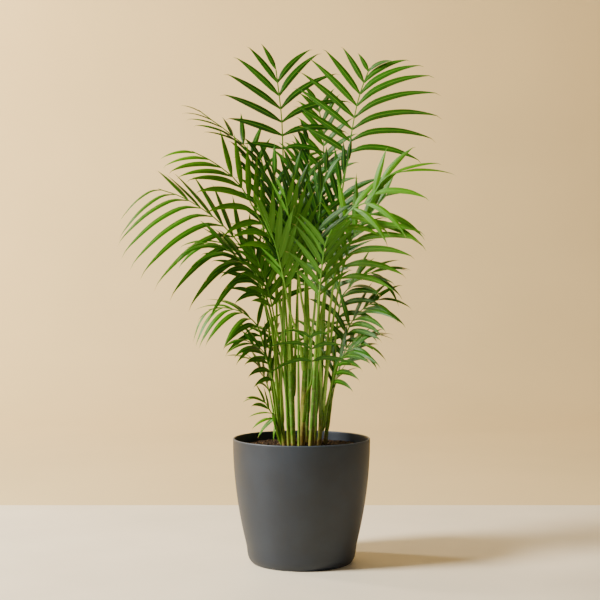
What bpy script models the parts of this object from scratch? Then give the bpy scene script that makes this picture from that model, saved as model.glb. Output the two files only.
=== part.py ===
"""A young areca palm in a round plastic pot.

Metres, +Z up. The origin is the middle of the pot's foot, on the surface that it stands on.
-Y is the front. The palm is a clump of short canes rooted in the potting soil, and each cane
carries a few fronds. Between the canes stand a few spears, which are young leaves still folded.
A frond grew as one piece: a long stalk, grooved on top, with pairs of leaflets along its outer
part. Leaves never pass through each other, so each leaflet and stalk bends aside from what is
there already.
"""

import math
from collections import namedtuple

import bmesh
import bpy
from mathutils import Matrix, Vector
from mathutils.bvhtree import BVHTree

DOWN = Vector((0, 0, -1))
GAP = 0.0003  # between two pieces that touch

# The pot: a tapered round tub with a rounded lip.
POT_HEIGHT = 0.197
POT_RADIUS = 0.110  # outside, at the lip
FOOT_RADIUS = 0.081  # outside, where the wall reaches the ground
POT_BELLY = 1.95  # the higher, the lower down the wall turns in
WALL = 0.003
POT_FLOOR = 0.004
FOOT_ROUND = 0.002  # the rounded edge at the foot
POT_SIDES = 48
WALL_STEPS = 7
LIP_STEPS = 4

# The soil fills the pot to a little below the lip, and sinks slightly towards the wall.
SOIL_BELOW_LIP = 0.012
SOIL_SINK = 0.003
SOIL_LEVEL_SHARE = 0.8  # the flat middle, as a share of the radius
SOIL_CLEARANCE = 0.0006  # to the pot's wall and floor
SOIL_STEPS = 4
SOIL_TOP = POT_HEIGHT - SOIL_BELOW_LIP

# The canes: planted in the soil, slightly swollen at each leaf scar.
PLANT_SCALE = 1.0  # every length of the plant follows it
PLANTED = 0.035  # how deep a cane's foot sits
CANE_SIDES = 10
SCAR_SWELL = 1.12
SCAR_SHARES = (0.30, 0.55, 0.78)  # of the cane's length above the soil
SCAR_HEIGHT = 0.0025

# The fronds: stalk and leaflets.
STALK_WIDTH = 0.0024  # half of it, at the foot of the stalk
STALK_TIP_WIDTH = 0.0007
STALK_DEPTH = 1.3  # of the keel below, as a share of the half width
STALK_CREST = 0.4  # of the edges above, the same
SHEATH = 0.030  # how far a stalk runs up along its cane before it leans out
STALK_STEP = 0.05  # the longest bare stretch between two of its rings
LEAFLET_WIDTH = 0.0100
LEAFLET_THICKNESS = 0.0008
LEAFLET_FOOT = 0.0040  # its width where it joins the stalk
LONG_LEAFLET = 0.090  # from this length on it has the full width
LEAST_WIDTH = 0.5  # the width that a very short leaflet would have, as a share of the full width
LONGEST_AT = 0.40  # the longest pair, as a share of the way from the first pair to the last
WIDEST_AT, NARROWING_AT = 0.32, 0.70  # shares of its length
NARROWED = 0.66
TIP_WIDTH = 0.0002  # that a leaflet's tip counts for

# How a stalk or leaflet looks for room: it takes the way that bends it least.
CLEARANCE = 0.0006  # to any other piece
CLEAR_FROM = 0.003  # how far out from its stalk a leaflet is clear
STALK_SWINGS = (0, 20, -20, 40, -40, 60, -60, 80, -80, 100, -100)  # degrees round its cane
STALK_CLIMBS = (0, 0.006, -0.006, 0.012, -0.012)  # up or down its cane
STALK_SHIFTS = (0, 0.005, -0.005, 0.010, -0.010, 0.015, -0.015, 0.022, -0.022, 0.03, -0.03)
SHIFT_WAYS = ((0, 1, 0), (0.6, 0.6, 0), (-0.6, 0.6, 0))
LEAFLET_TURNS = (0, 5, -5, 10, -10, 16, -16)  # degrees towards the stalk's tip or foot
LEAFLET_LIFTS = (0, 7, -7, 14, -14, 22, -22, 32, -32)  # degrees up or down
LEAFLET_SHARES = (1.0, 0.8, 0.62)  # of its full length
TURN_COST = 1.4  # a degree of turn, against a degree of lift
SHORTER_COST = 400  # the whole length, against a degree of lift

Cane = namedtuple("Cane", "foot top radius")
Frond = namedtuple("Frond", "cane share route face pairs bare lengths left right lift")


def point(x, y, height):
    """A place on the plant, with its height counted from the soil."""
    return Vector((x, y, height)) * PLANT_SCALE + Vector((0, 0, SOIL_TOP))


# foot: place on the soil. top: its end. radius: at the soil and at the end.
CANES = {
    "cane_outer_left": Cane((-0.034, 0.016), (-0.046, 0.022, 0.085), (0.0032, 0.0028)),
    "cane_left": Cane((-0.028, -0.002), (-0.040, -0.008, 0.105), (0.0037, 0.0031)),
    "cane_back_left": Cane((-0.017, 0.026), (-0.023, 0.038, 0.110), (0.0033, 0.0028)),
    "cane_middle_left": Cane((-0.012, 0.008), (-0.015, 0.013, 0.120), (0.0034, 0.0029)),
    "cane_centre": Cane((0.000, -0.006), (0.008, -0.012, 0.170), (0.0053, 0.0038)),
    "cane_front_left": Cane((-0.013, -0.019), (-0.018, -0.030, 0.120), (0.0031, 0.0027)),
    "cane_front_right": Cane((0.0135, -0.021), (0.021, -0.031, 0.130), (0.0033, 0.0028)),
    "cane_back": Cane((0.008, 0.028), (0.013, 0.042, 0.120), (0.0034, 0.0029)),
    "cane_middle_right": Cane((0.017, 0.008), (0.023, 0.010, 0.135), (0.0040, 0.0031)),
    "cane_right": Cane((0.0285, -0.004), (0.040, -0.012, 0.120), (0.0036, 0.0030)),
    "cane_outer_right": Cane((0.038, 0.016), (0.050, 0.022, 0.100), (0.0035, 0.0029)),
}

# The spears: young leaves, each still folded into a slender point.
SPEAR_SWELL = 1.15  # where the folded leaf is thickest
SPEAR_THICKEST = 0.45  # of its length above the soil
SPEARS = {
    "spear_left": Cane((-0.021, 0.011), (-0.030, 0.014, 0.30), (0.0020, 0.0005)),
    "spear_middle": Cane((0.004, 0.010), (0.006, 0.012, 0.35), (0.0021, 0.0005)),
    "spear_right": Cane((0.0275, 0.014), (0.040, 0.018, 0.27), (0.0019, 0.0005)),
    "spear_front": Cane((-0.004, -0.022), (-0.006, -0.040, 0.29), (0.0020, 0.0005)),
    "spear_front_left": Cane((-0.021, -0.013), (-0.034, -0.026, 0.25), (0.0018, 0.0005)),
    "spear_front_right": Cane((0.022, -0.013), (0.030, -0.030, 0.27), (0.0019, 0.0005)),
}

# cane and share: where on its cane the stalk leaves.
# route: points of the stalk, as x, y and height above the soil.
# face: where the upper side looks. bare: the share of the frond with no leaflets.
# lengths: of the first, the longest and the last leaflets.
# left, right: the angles of the first and last leaflets to the stalk, and how far that side hangs.
# lift: how far both sides fold up, in degrees.
FRONDS = {
    "frond_top_left": Frond(
        cane="cane_middle_left", share=1.0, face=(0.1, -1.0, 0.2), pairs=7, bare=0.72,
        route=[(-0.017, 0.020, 0.190), (-0.024, 0.038, 0.330),
               (-0.030, 0.050, 0.464), (-0.033, 0.053, 0.536),
               (-0.043, 0.056, 0.621)],
        lengths=(0.062, 0.104, 0.048), left=(72, 18, 0.15), right=(68, 16, 0.60), lift=4,
    ),
    "frond_top_right": Frond(
        cane="cane_middle_right", share=1.0, face=(-0.1, -1.0, 0.2), pairs=8, bare=0.70,
        route=[(0.029, 0.014, 0.190), (0.048, 0.024, 0.310),
               (0.068, 0.030, 0.420), (0.083, 0.035, 0.512),
               (0.095, 0.036, 0.568), (0.112, 0.036, 0.614)],
        lengths=(0.088, 0.116, 0.036), left=(62, 46, 0.10), right=(50, 8, 0.85), lift=3,
    ),
    "frond_middle": Frond(
        cane="cane_back", share=1.0, face=(-0.3, -1.0, 0.3), pairs=10, bare=0.60,
        route=[(0.020, 0.052, 0.200), (0.030, 0.068, 0.330),
               (0.034, 0.080, 0.440), (0.037, 0.084, 0.511),
               (0.024, 0.090, 0.574)],
        lengths=(0.060, 0.068, 0.036), left=(58, 18, 0.20), right=(62, 18, 0.30), lift=12,
    ),
    "frond_upper_left": Frond(
        cane="cane_left", share=1.0, face=(0.3, -0.8, 0.6), pairs=10, bare=0.50,
        route=[(-0.039, -0.022, 0.200), (-0.047, -0.048, 0.321),
               (-0.070, -0.066, 0.368), (-0.098, -0.078, 0.414),
               (-0.133, -0.086, 0.443), (-0.168, -0.090, 0.461)],
        lengths=(0.062, 0.088, 0.046), left=(48, 14, 0.45), right=(46, 12, 0.15), lift=12,
    ),
    "frond_back_upper_left": Frond(
        cane="cane_back_left", share=1.0, face=(0.3, -0.8, 0.8), pairs=8, bare=0.66,
        route=[(-0.034, 0.052, 0.220), (-0.066, 0.076, 0.365),
               (-0.083, 0.090, 0.472), (-0.118, 0.100, 0.512),
               (-0.160, 0.106, 0.544), (-0.175, 0.108, 0.556)],
        lengths=(0.056, 0.064, 0.034), left=(36, 12, 0.30), right=(36, 12, 0.20), lift=24,
    ),
    "frond_left": Frond(
        cane="cane_left", share=0.62, face=(0.3, -0.55, 0.85), pairs=10, bare=0.50,
        route=[(-0.042, -0.014, 0.170), (-0.056, -0.022, 0.240),
               (-0.084, -0.026, 0.300), (-0.109, -0.027, 0.335),
               (-0.141, -0.028, 0.366), (-0.186, -0.029, 0.395), (-0.228, -0.030, 0.410)],
        lengths=(0.080, 0.108, 0.052), left=(58, 14, 1.0), right=(44, 10, 0.10), lift=2,
    ),
    "frond_middle_left": Frond(
        cane="cane_outer_left", share=1.0, face=(0.2, -0.5, 1.0), pairs=8, bare=0.50,
        route=[(-0.052, 0.030, 0.180), (-0.070, 0.036, 0.262),
               (-0.099, 0.040, 0.305), (-0.139, 0.045, 0.330),
               (-0.158, 0.048, 0.330)],
        lengths=(0.064, 0.080, 0.040), left=(48, 16, 0.42), right=(48, 16, 0.42), lift=12,
    ),
    "frond_middle_left_low": Frond(
        cane="cane_left", share=0.80, face=(0.2, -0.6, 1.0), pairs=8, bare=0.52,
        route=[(-0.047, -0.030, 0.190), (-0.071, -0.046, 0.270),
               (-0.088, -0.054, 0.290), (-0.109, -0.060, 0.307),
               (-0.130, -0.064, 0.320), (-0.160, -0.070, 0.322)],
        lengths=(0.060, 0.078, 0.040), left=(50, 16, 0.55), right=(50, 16, 0.35), lift=10,
    ),
    "frond_inner_left": Frond(
        cane="cane_middle_left", share=0.70, face=(0.6, -0.8, 0.4), pairs=7, bare=0.60,
        route=[(-0.030, -0.020, 0.160), (-0.044, -0.034, 0.240),
               (-0.058, -0.042, 0.285), (-0.072, -0.046, 0.315)],
        lengths=(0.050, 0.062, 0.034), left=(46, 16, 0.35), right=(46, 16, 0.25), lift=16,
    ),
    "frond_low_left": Frond(
        cane="cane_outer_left", share=0.62, face=(0.1, -0.5, 1.0), pairs=8, bare=0.46,
        route=[(-0.052, 0.006, 0.126), (-0.069, 0.000, 0.188),
               (-0.083, -0.006, 0.205), (-0.100, -0.010, 0.216),
               (-0.124, -0.014, 0.221), (-0.148, -0.016, 0.218)],
        lengths=(0.044, 0.064, 0.040), left=(58, 18, 0.85), right=(54, 16, 0.60), lift=6,
    ),
    "frond_lower_left": Frond(
        cane="cane_left", share=0.32, face=(0.2, -0.5, 1.0), pairs=7, bare=0.44,
        route=[(-0.044, -0.014, 0.100), (-0.057, -0.022, 0.145),
               (-0.070, -0.028, 0.160), (-0.092, -0.036, 0.172)],
        lengths=(0.046, 0.062, 0.036), left=(56, 20, 0.50), right=(50, 18, 0.30), lift=12,
    ),
    "frond_lower_left_back": Frond(
        cane="cane_outer_left", share=0.36, face=(0.2, 0.0, 1.0), pairs=6, bare=0.42,
        route=[(-0.053, 0.030, 0.088), (-0.067, 0.034, 0.122), (-0.090, 0.040, 0.140)],
        lengths=(0.044, 0.058, 0.034), left=(52, 18, 0.50), right=(52, 18, 0.45), lift=12,
    ),
    "frond_bottom_left": Frond(
        cane="cane_outer_left", share=0.14, face=(0.1, -0.4, 1.0), pairs=4, bare=0.46,
        route=[(-0.048, 0.002, 0.052), (-0.059, -0.002, 0.070), (-0.072, -0.006, 0.078)],
        lengths=(0.036, 0.044, 0.028), left=(46, 18, 0.40), right=(46, 18, 0.40), lift=10,
    ),
    "frond_seedling": Frond(
        cane="cane_left", share=0.08, face=(0.1, -0.6, 1.0), pairs=2, bare=0.70,
        route=[(-0.042, -0.008, 0.042), (-0.052, -0.012, 0.046)],
        lengths=(0.034, 0.036, 0.030), left=(44, 20, 0.60), right=(44, 20, 0.50), lift=8,
    ),
    "frond_upper_right": Frond(
        cane="cane_right", share=1.0, face=(0.1, -0.9, 0.6), pairs=9, bare=0.58,
        route=[(0.042, -0.024, 0.190), (0.055, -0.044, 0.290),
               (0.068, -0.056, 0.364), (0.104, -0.066, 0.388),
               (0.127, -0.072, 0.421), (0.152, -0.078, 0.430), (0.180, -0.082, 0.432)],
        lengths=(0.052, 0.074, 0.074), left=(40, 2, 0.25), right=(62, 12, 0.45), lift=4,
    ),
    "frond_right": Frond(
        cane="cane_right", share=0.55, face=(-0.2, -1.0, 0.4), pairs=9, bare=0.56,
        route=[(0.044, -0.022, 0.150), (0.056, -0.030, 0.242),
               (0.068, -0.036, 0.292), (0.084, -0.040, 0.340),
               (0.104, -0.042, 0.364), (0.136, -0.046, 0.401)],
        lengths=(0.074, 0.094, 0.044), left=(36, 14, 0.05), right=(56, 18, 0.55), lift=6,
    ),
    "frond_middle_right": Frond(
        cane="cane_outer_right", share=1.0, face=(-0.1, -0.5, 1.0), pairs=8, bare=0.46,
        route=[(0.055, 0.018, 0.170), (0.064, 0.014, 0.235),
               (0.077, 0.010, 0.253), (0.096, 0.006, 0.272),
               (0.134, 0.002, 0.282)],
        lengths=(0.056, 0.074, 0.042), left=(50, 18, 0.40), right=(52, 18, 0.60), lift=12,
    ),
    "frond_low_right": Frond(
        cane="cane_outer_right", share=0.75, face=(-0.1, -0.6, 1.0), pairs=8, bare=0.50,
        route=[(0.060, 0.002, 0.136), (0.074, -0.006, 0.185),
               (0.084, -0.012, 0.204), (0.100, -0.016, 0.221),
               (0.124, -0.020, 0.236)],
        lengths=(0.050, 0.070, 0.048), left=(50, 18, 0.40), right=(52, 18, 0.60), lift=10,
    ),
    "frond_lower_right": Frond(
        cane="cane_right", share=0.30, face=(-0.1, -0.5, 1.0), pairs=7, bare=0.42,
        route=[(0.048, -0.018, 0.100), (0.058, -0.026, 0.136),
               (0.080, -0.032, 0.157), (0.100, -0.036, 0.165)],
        lengths=(0.044, 0.062, 0.044), left=(54, 18, 0.30), right=(54, 18, 0.55), lift=10,
    ),
    "frond_bottom_right": Frond(
        cane="cane_outer_right", share=0.34, face=(-0.1, -0.2, 1.0), pairs=4, bare=0.54,
        route=[(0.053, 0.010, 0.088), (0.059, 0.008, 0.106), (0.072, 0.004, 0.117)],
        lengths=(0.032, 0.042, 0.030), left=(46, 20, 0.40), right=(46, 20, 0.50), lift=12,
    ),
    "frond_front_left": Frond(
        cane="cane_centre", share=0.78, face=(0.1, 0.2, 1.0), pairs=9, bare=0.50,
        route=[(-0.012, -0.034, 0.190), (-0.032, -0.060, 0.286),
               (-0.046, -0.082, 0.336), (-0.058, -0.102, 0.366)],
        lengths=(0.070, 0.088, 0.044), left=(34, 14, 0.10), right=(34, 14, 0.10), lift=42,
    ),
    "frond_front": Frond(
        cane="cane_centre", share=1.0, face=(0.1, 0.4, 1.0), pairs=9, bare=0.48,
        route=[(0.002, -0.030, 0.210), (-0.012, -0.056, 0.306),
               (-0.022, -0.084, 0.358), (-0.028, -0.112, 0.392)],
        lengths=(0.070, 0.086, 0.044), left=(38, 16, 0.15), right=(38, 16, 0.15), lift=36,
    ),
    "frond_front_right": Frond(
        cane="cane_front_right", share=1.0, face=(0.0, 0.3, 1.0), pairs=8, bare=0.48,
        route=[(0.025, -0.044, 0.200), (0.031, -0.068, 0.280), (0.037, -0.090, 0.320),
               (0.046, -0.116, 0.340)],
        lengths=(0.062, 0.078, 0.040), left=(44, 18, 0.25), right=(44, 18, 0.25), lift=26,
    ),
    "frond_front_low": Frond(
        cane="cane_centre", share=0.30, face=(0.0, -0.3, 1.0), pairs=3, bare=0.66,
        route=[(0.014, -0.034, 0.090), (0.016, -0.062, 0.150), (0.013, -0.084, 0.180)],
        lengths=(0.050, 0.056, 0.042), left=(60, 34, 0.65), right=(60, 30, 0.95), lift=4,
    ),
    "frond_core_left": Frond(
        cane="cane_left", share=0.45, face=(0.3, -1.0, 0.2), pairs=9, bare=0.60,
        route=[(-0.030, -0.022, 0.130), (-0.026, -0.038, 0.230), (-0.026, -0.048, 0.320),
               (-0.034, -0.054, 0.400), (-0.046, -0.056, 0.450)],
        lengths=(0.058, 0.074, 0.040), left=(34, 12, 0.15), right=(34, 12, 0.10), lift=14,
    ),
    "frond_core": Frond(
        cane="cane_front_left", share=1.0, face=(0.0, -1.0, 0.3), pairs=9, bare=0.58,
        route=[(-0.019, -0.036, 0.200), (-0.016, -0.044, 0.290), (-0.012, -0.050, 0.370),
               (-0.014, -0.054, 0.440)],
        lengths=(0.056, 0.072, 0.040), left=(32, 12, 0.10), right=(32, 12, 0.12), lift=14,
    ),
    "frond_core_right": Frond(
        cane="cane_right", share=0.42, face=(-0.2, -1.0, 0.2), pairs=9, bare=0.60,
        route=[(0.030, -0.020, 0.120), (0.026, -0.032, 0.220), (0.024, -0.040, 0.310),
               (0.030, -0.044, 0.390), (0.040, -0.048, 0.440)],
        lengths=(0.056, 0.072, 0.040), left=(34, 12, 0.12), right=(36, 12, 0.20), lift=14,
    ),
    "frond_core_back_left": Frond(
        cane="cane_middle_left", share=0.40, face=(0.1, -1.0, 0.3), pairs=9, bare=0.58,
        route=[(-0.024, 0.016, 0.140), (-0.034, 0.020, 0.250), (-0.046, 0.020, 0.350),
               (-0.060, 0.018, 0.420), (-0.074, 0.016, 0.470)],
        lengths=(0.060, 0.078, 0.042), left=(40, 14, 0.30), right=(38, 14, 0.15), lift=12,
    ),
    "frond_core_back_right": Frond(
        cane="cane_middle_right", share=0.42, face=(-0.1, -1.0, 0.3), pairs=9, bare=0.58,
        route=[(0.034, 0.016, 0.140), (0.044, 0.016, 0.250), (0.056, 0.012, 0.340),
               (0.068, 0.008, 0.410), (0.082, 0.006, 0.460)],
        lengths=(0.060, 0.078, 0.042), left=(40, 14, 0.20), right=(40, 14, 0.30), lift=12,
    ),
    "frond_core_back": Frond(
        cane="cane_back", share=0.30, face=(0.0, -1.0, 0.3), pairs=9, bare=0.60,
        route=[(0.010, 0.048, 0.120), (0.008, 0.054, 0.240), (0.008, 0.058, 0.350),
               (0.014, 0.060, 0.440), (0.012, 0.060, 0.500)],
        lengths=(0.058, 0.076, 0.042), left=(42, 14, 0.20), right=(42, 14, 0.25), lift=12,
    ),
    "frond_back_left": Frond(
        cane="cane_back_left", share=0.75, face=(0.1, -0.2, 1.0), pairs=8, bare=0.46,
        route=[(-0.032, 0.060, 0.190), (-0.050, 0.092, 0.300),
               (-0.068, 0.125, 0.345), (-0.084, 0.158, 0.360)],
        lengths=(0.064, 0.082, 0.042), left=(54, 20, 0.40), right=(54, 20, 0.40), lift=16,
    ),
    "frond_back_low_left": Frond(
        cane="cane_back_left", share=0.45, face=(0.1, -0.2, 1.0), pairs=6, bare=0.46,
        route=[(-0.030, 0.056, 0.110), (-0.042, 0.078, 0.165),
               (-0.058, 0.102, 0.185), (-0.072, 0.122, 0.188)],
        lengths=(0.050, 0.064, 0.036), left=(54, 20, 0.45), right=(54, 20, 0.45), lift=14,
    ),
    "frond_back": Frond(
        cane="cane_back", share=0.80, face=(0.0, -0.2, 1.0), pairs=9, bare=0.46,
        route=[(0.010, 0.066, 0.220), (0.004, 0.098, 0.340),
               (-0.002, 0.134, 0.395), (-0.006, 0.172, 0.415)],
        lengths=(0.068, 0.088, 0.044), left=(54, 20, 0.40), right=(54, 20, 0.40), lift=16,
    ),
    "frond_back_high": Frond(
        cane="cane_middle_left", share=0.75, face=(0.0, -0.4, 1.0), pairs=8, bare=0.56,
        route=[(-0.006, 0.036, 0.260), (0.000, 0.060, 0.400),
               (0.002, 0.086, 0.460), (0.000, 0.118, 0.492)],
        lengths=(0.068, 0.084, 0.044), left=(50, 18, 0.35), right=(50, 18, 0.35), lift=18,
    ),
    "frond_back_right": Frond(
        cane="cane_middle_right", share=0.75, face=(-0.1, -0.2, 1.0), pairs=8, bare=0.46,
        route=[(0.034, 0.040, 0.200), (0.054, 0.072, 0.310),
               (0.078, 0.104, 0.355), (0.104, 0.134, 0.370)],
        lengths=(0.064, 0.084, 0.042), left=(54, 20, 0.42), right=(54, 20, 0.42), lift=16,
    ),
    "frond_back_low": Frond(
        cane="cane_back", share=0.50, face=(0.0, -0.2, 1.0), pairs=6, bare=0.46,
        route=[(0.018, 0.062, 0.110), (0.026, 0.088, 0.165),
               (0.034, 0.116, 0.190), (0.042, 0.142, 0.194)],
        lengths=(0.052, 0.066, 0.038), left=(54, 20, 0.45), right=(54, 20, 0.45), lift=14,
    ),
    "frond_back_low_right": Frond(
        cane="cane_outer_right", share=0.55, face=(-0.1, -0.2, 1.0), pairs=6, bare=0.46,
        route=[(0.056, 0.040, 0.100), (0.072, 0.056, 0.150),
               (0.092, 0.074, 0.172), (0.112, 0.090, 0.176)],
        lengths=(0.050, 0.064, 0.036), left=(54, 20, 0.45), right=(54, 20, 0.45), lift=14,
    ),
}


# ----------------------------------------------------------------------- scene and materials


def clear_scene():
    for thing in list(bpy.data.objects):
        bpy.data.objects.remove(thing)


def material(name, colour, roughness):
    made = bpy.data.materials.new(name)
    made.use_nodes = True
    shader = made.node_tree.nodes["Principled BSDF"]
    shader.inputs["Base Color"].default_value = (*colour, 1)
    shader.inputs["Roughness"].default_value = roughness
    shader.inputs["Metallic"].default_value = 0
    return made


def add_object(name, bm, finish, smooth_under=None):
    """The finished mesh as a named object. Edges of fewer degrees than smooth_under look smooth."""
    bmesh.ops.recalc_face_normals(bm, faces=bm.faces[:])
    mesh = bpy.data.meshes.new(name)
    bm.to_mesh(mesh)
    bm.free()
    mesh.materials.append(finish)
    if smooth_under:
        mesh.shade_smooth()
        mesh.set_sharp_from_angle(angle=math.radians(smooth_under))
    made = bpy.data.objects.new(name, mesh)
    bpy.context.scene.collection.objects.link(made)
    return made


def sleeve(rings):
    """Points and faces of a closed tube over rings that all have the same number of points."""
    n = len(rings[0])
    faces = [tuple(range(n)), tuple(range(len(rings) * n - n, len(rings) * n))]
    for r in range(len(rings) - 1):
        for i in range(n):
            j = (i + 1) % n
            faces.append((r * n + i, r * n + j, r * n + n + j, r * n + n + i))
    return [p for one in rings for p in one], faces


def closed_mesh(points, faces):
    bm = bmesh.new()
    verts = [bm.verts.new(p) for p in points]
    for face in faces:
        bm.faces.new([verts[i] for i in face])
    return bm


# ----------------------------------------------------------------------- pot and soil


def outer_radius(z):
    """The pot's outside at height z."""
    below_lip = (POT_HEIGHT - z) / POT_HEIGHT
    return POT_RADIUS - (POT_RADIUS - FOOT_RADIUS) * below_lip**POT_BELLY


def turned(profile, sides):
    """A closed body turned from a profile that starts and ends on the Z axis, as (radius, z) pairs."""
    bm = bmesh.new()
    verts = [bm.verts.new((radius, 0, z)) for radius, z in profile]
    edges = [bm.edges.new(pair) for pair in zip(verts, verts[1:])]
    bmesh.ops.spin(bm, geom=verts + edges, axis=(0, 0, 1), cent=(0, 0, 0), steps=sides, angle=math.tau)
    bmesh.ops.remove_doubles(bm, verts=bm.verts[:], dist=1e-6)
    return bm


def pot_profile():
    """Up the outside, over the round lip, down the inside and to the middle of the floor."""
    wall_top = POT_HEIGHT - WALL / 2
    heights = [FOOT_ROUND + (wall_top - FOOT_ROUND) * i / WALL_STEPS for i in range(WALL_STEPS + 1)]
    outside = [(outer_radius(z), z) for z in heights]
    lip_middle = outer_radius(wall_top) - WALL / 2
    turns = [math.pi * i / LIP_STEPS for i in range(1, LIP_STEPS)]
    lip = [(lip_middle + WALL / 2 * math.cos(a), wall_top + WALL / 2 * math.sin(a)) for a in turns]
    inside_heights = [z for z in reversed(heights) if z > POT_FLOOR + WALL]
    inside = [(outer_radius(z) - WALL, z) for z in inside_heights]
    foot_edge = outer_radius(FOOT_ROUND) - FOOT_ROUND
    floor_edge = outer_radius(POT_FLOOR) - WALL
    return [(0, 0), (foot_edge, 0)] + outside + lip + inside + [(floor_edge, POT_FLOOR), (0, POT_FLOOR)]


def make_pot(finish, room):
    add_object("pot", turned(pot_profile(), POT_SIDES), finish, smooth_under=40)
    turns = [math.tau * i / POT_SIDES for i in range(POT_SIDES)]
    outside = [[Vector((radius * math.cos(a), radius * math.sin(a), z)) for a in turns]
               for radius, z in ((FOOT_RADIUS, 0), (POT_RADIUS, POT_HEIGHT))]
    room.add("pot", *sleeve(outside))


def soil_profile():
    low = POT_FLOOR + SOIL_CLEARANCE
    edge_top = SOIL_TOP - SOIL_SINK
    heights = [low + (edge_top - low) * i / SOIL_STEPS for i in range(SOIL_STEPS + 1)]
    side = [(outer_radius(z) - WALL - SOIL_CLEARANCE, z) for z in heights]
    return [(0, low)] + side + [(side[-1][0] * SOIL_LEVEL_SHARE, SOIL_TOP), (0, SOIL_TOP)]


def make_soil(finish, socket_cutters):
    """The soil, with a close socket for the foot of each cane and spear."""
    soil = add_object("soil", turned(soil_profile(), POT_SIDES), finish, smooth_under=30)
    sockets = soil.modifiers.new("sockets", "BOOLEAN")
    sockets.operation = "DIFFERENCE"
    sockets.operand_type = "COLLECTION"
    sockets.collection = socket_cutters


# ----------------------------------------------------------------------- canes


def cane_line(cane):
    """(foot in the soil, place at the soil, end) of the cane's straight axis."""
    at_soil = point(*cane.foot, 0)
    end = point(*cane.top)
    along = (end - at_soil).normalized()
    return at_soil - along * PLANTED, at_soil, end


def cane_radius(cane, share):
    """Its radius at a share of its length above the soil, without the scars."""
    low, high = cane.radius
    return (low + (high - low) * max(share, 0)) * PLANT_SCALE


def rod(stations):
    """Points and faces of a round rod through stations, each (centre, radius)."""
    along = (stations[-1][0] - stations[0][0]).normalized()
    across = along.orthogonal().normalized()
    other = along.cross(across)
    turns = [math.tau * i / CANE_SIDES for i in range(CANE_SIDES)]
    return sleeve([[centre + radius * (across * math.cos(a) + other * math.sin(a)) for a in turns]
                   for centre, radius in stations])


def cane_stations(cane):
    foot, at_soil, end = cane_line(cane)
    above = (end - at_soil).length
    stations = [(foot, cane_radius(cane, 0)), (at_soil, cane_radius(cane, 0))]
    for share in SCAR_SHARES:
        half = SCAR_HEIGHT / above
        for offset, swell in ((-half, 1), (0, SCAR_SWELL), (half, 1)):
            where = at_soil.lerp(end, share + offset)
            stations.append((where, cane_radius(cane, share) * swell))
    return stations + [(end, cane_radius(cane, 1))]


def spear_stations(spear):
    """Its rings, thickest partway up and pointed at the tip."""
    foot, at_soil, end = cane_line(spear)
    low, high = cane_radius(spear, 0), cane_radius(spear, 1)
    thickest = at_soil.lerp(end, SPEAR_THICKEST)
    return [(foot, low), (at_soil, low), (thickest, low * SPEAR_SWELL), (end, high)]


def plant(name, cane, stations, finish, cutters, room):
    """The cane or spear, and the cutter of its socket in the soil."""
    body = rod(stations)
    room.add(name, *body)
    add_object(name, closed_mesh(*body), finish, smooth_under=50)
    foot, at_soil, end = cane_line(cane)
    along = (end - at_soil).normalized()
    wide = cane_radius(cane, 0) + GAP
    above = at_soil + along * SOIL_BELOW_LIP
    socket = closed_mesh(*rod([(foot - along * GAP, wide), (above, wide)]))
    cutter = add_object(name + "_socket", socket, finish)
    bpy.context.scene.collection.objects.unlink(cutter)
    cutters.objects.link(cutter)
    cutter.hide_render = True
    cutter.display_type = "WIRE"


# ----------------------------------------------------------------------- room between pieces


class Room:
    """What is already there, so that the next piece can keep clear of it."""

    def __init__(self):
        self.pieces = []

    def add(self, owner, points, faces):
        self.pieces.append((owner, *corners(points), BVHTree.FromPolygons(points, faces)))

    def is_free(self, points, faces, ignoring=()):
        low, high = corners(points)
        tree = None
        for owner, other_low, other_high, other in self.pieces:
            apart = any(low[k] > other_high[k] or high[k] < other_low[k] for k in range(3))
            if owner in ignoring or apart:
                continue
            tree = tree or BVHTree.FromPolygons(points, faces)
            if tree.overlap(other):
                return False
        return True


def corners(points):
    low = [min(p[k] for p in points) for k in range(3)]
    high = [max(p[k] for p in points) for k in range(3)]
    return low, high


# ----------------------------------------------------------------------- stalks


class Line:
    """A smooth curve through a few points, read by distance along it."""

    FINE = 16

    def __init__(self, through):
        ends = [2 * through[0] - through[1], *through, 2 * through[-1] - through[-2]]
        self.points = []
        for a, b, c, d in zip(ends, ends[1:], ends[2:], ends[3:]):
            for i in range(self.FINE):
                self.points.append(between(a, b, c, d, i / self.FINE))
        self.points.append(through[-1])
        self.run = [0.0]
        for a, b in zip(self.points, self.points[1:]):
            self.run.append(self.run[-1] + (b - a).length)
        self.length = self.run[-1]

    def at(self, distance):
        distance = min(max(distance, 0), self.length)
        i = next((k for k in range(1, len(self.run)) if self.run[k] >= distance), len(self.run) - 1)
        share = (distance - self.run[i - 1]) / (self.run[i] - self.run[i - 1])
        return self.points[i - 1].lerp(self.points[i], share)

    def along(self, distance):
        step = self.length / 60
        return (self.at(distance + step) - self.at(distance - step)).normalized()


def between(a, b, c, d, t):
    """Catmull-Rom: from b at t 0 to c at t 1."""
    bend = (2 * a - 5 * b + 4 * c - d) * t**2 + (3 * b - a - 3 * c + d) * t**3
    return 0.5 * (2 * b + (c - a) * t + bend)


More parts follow.
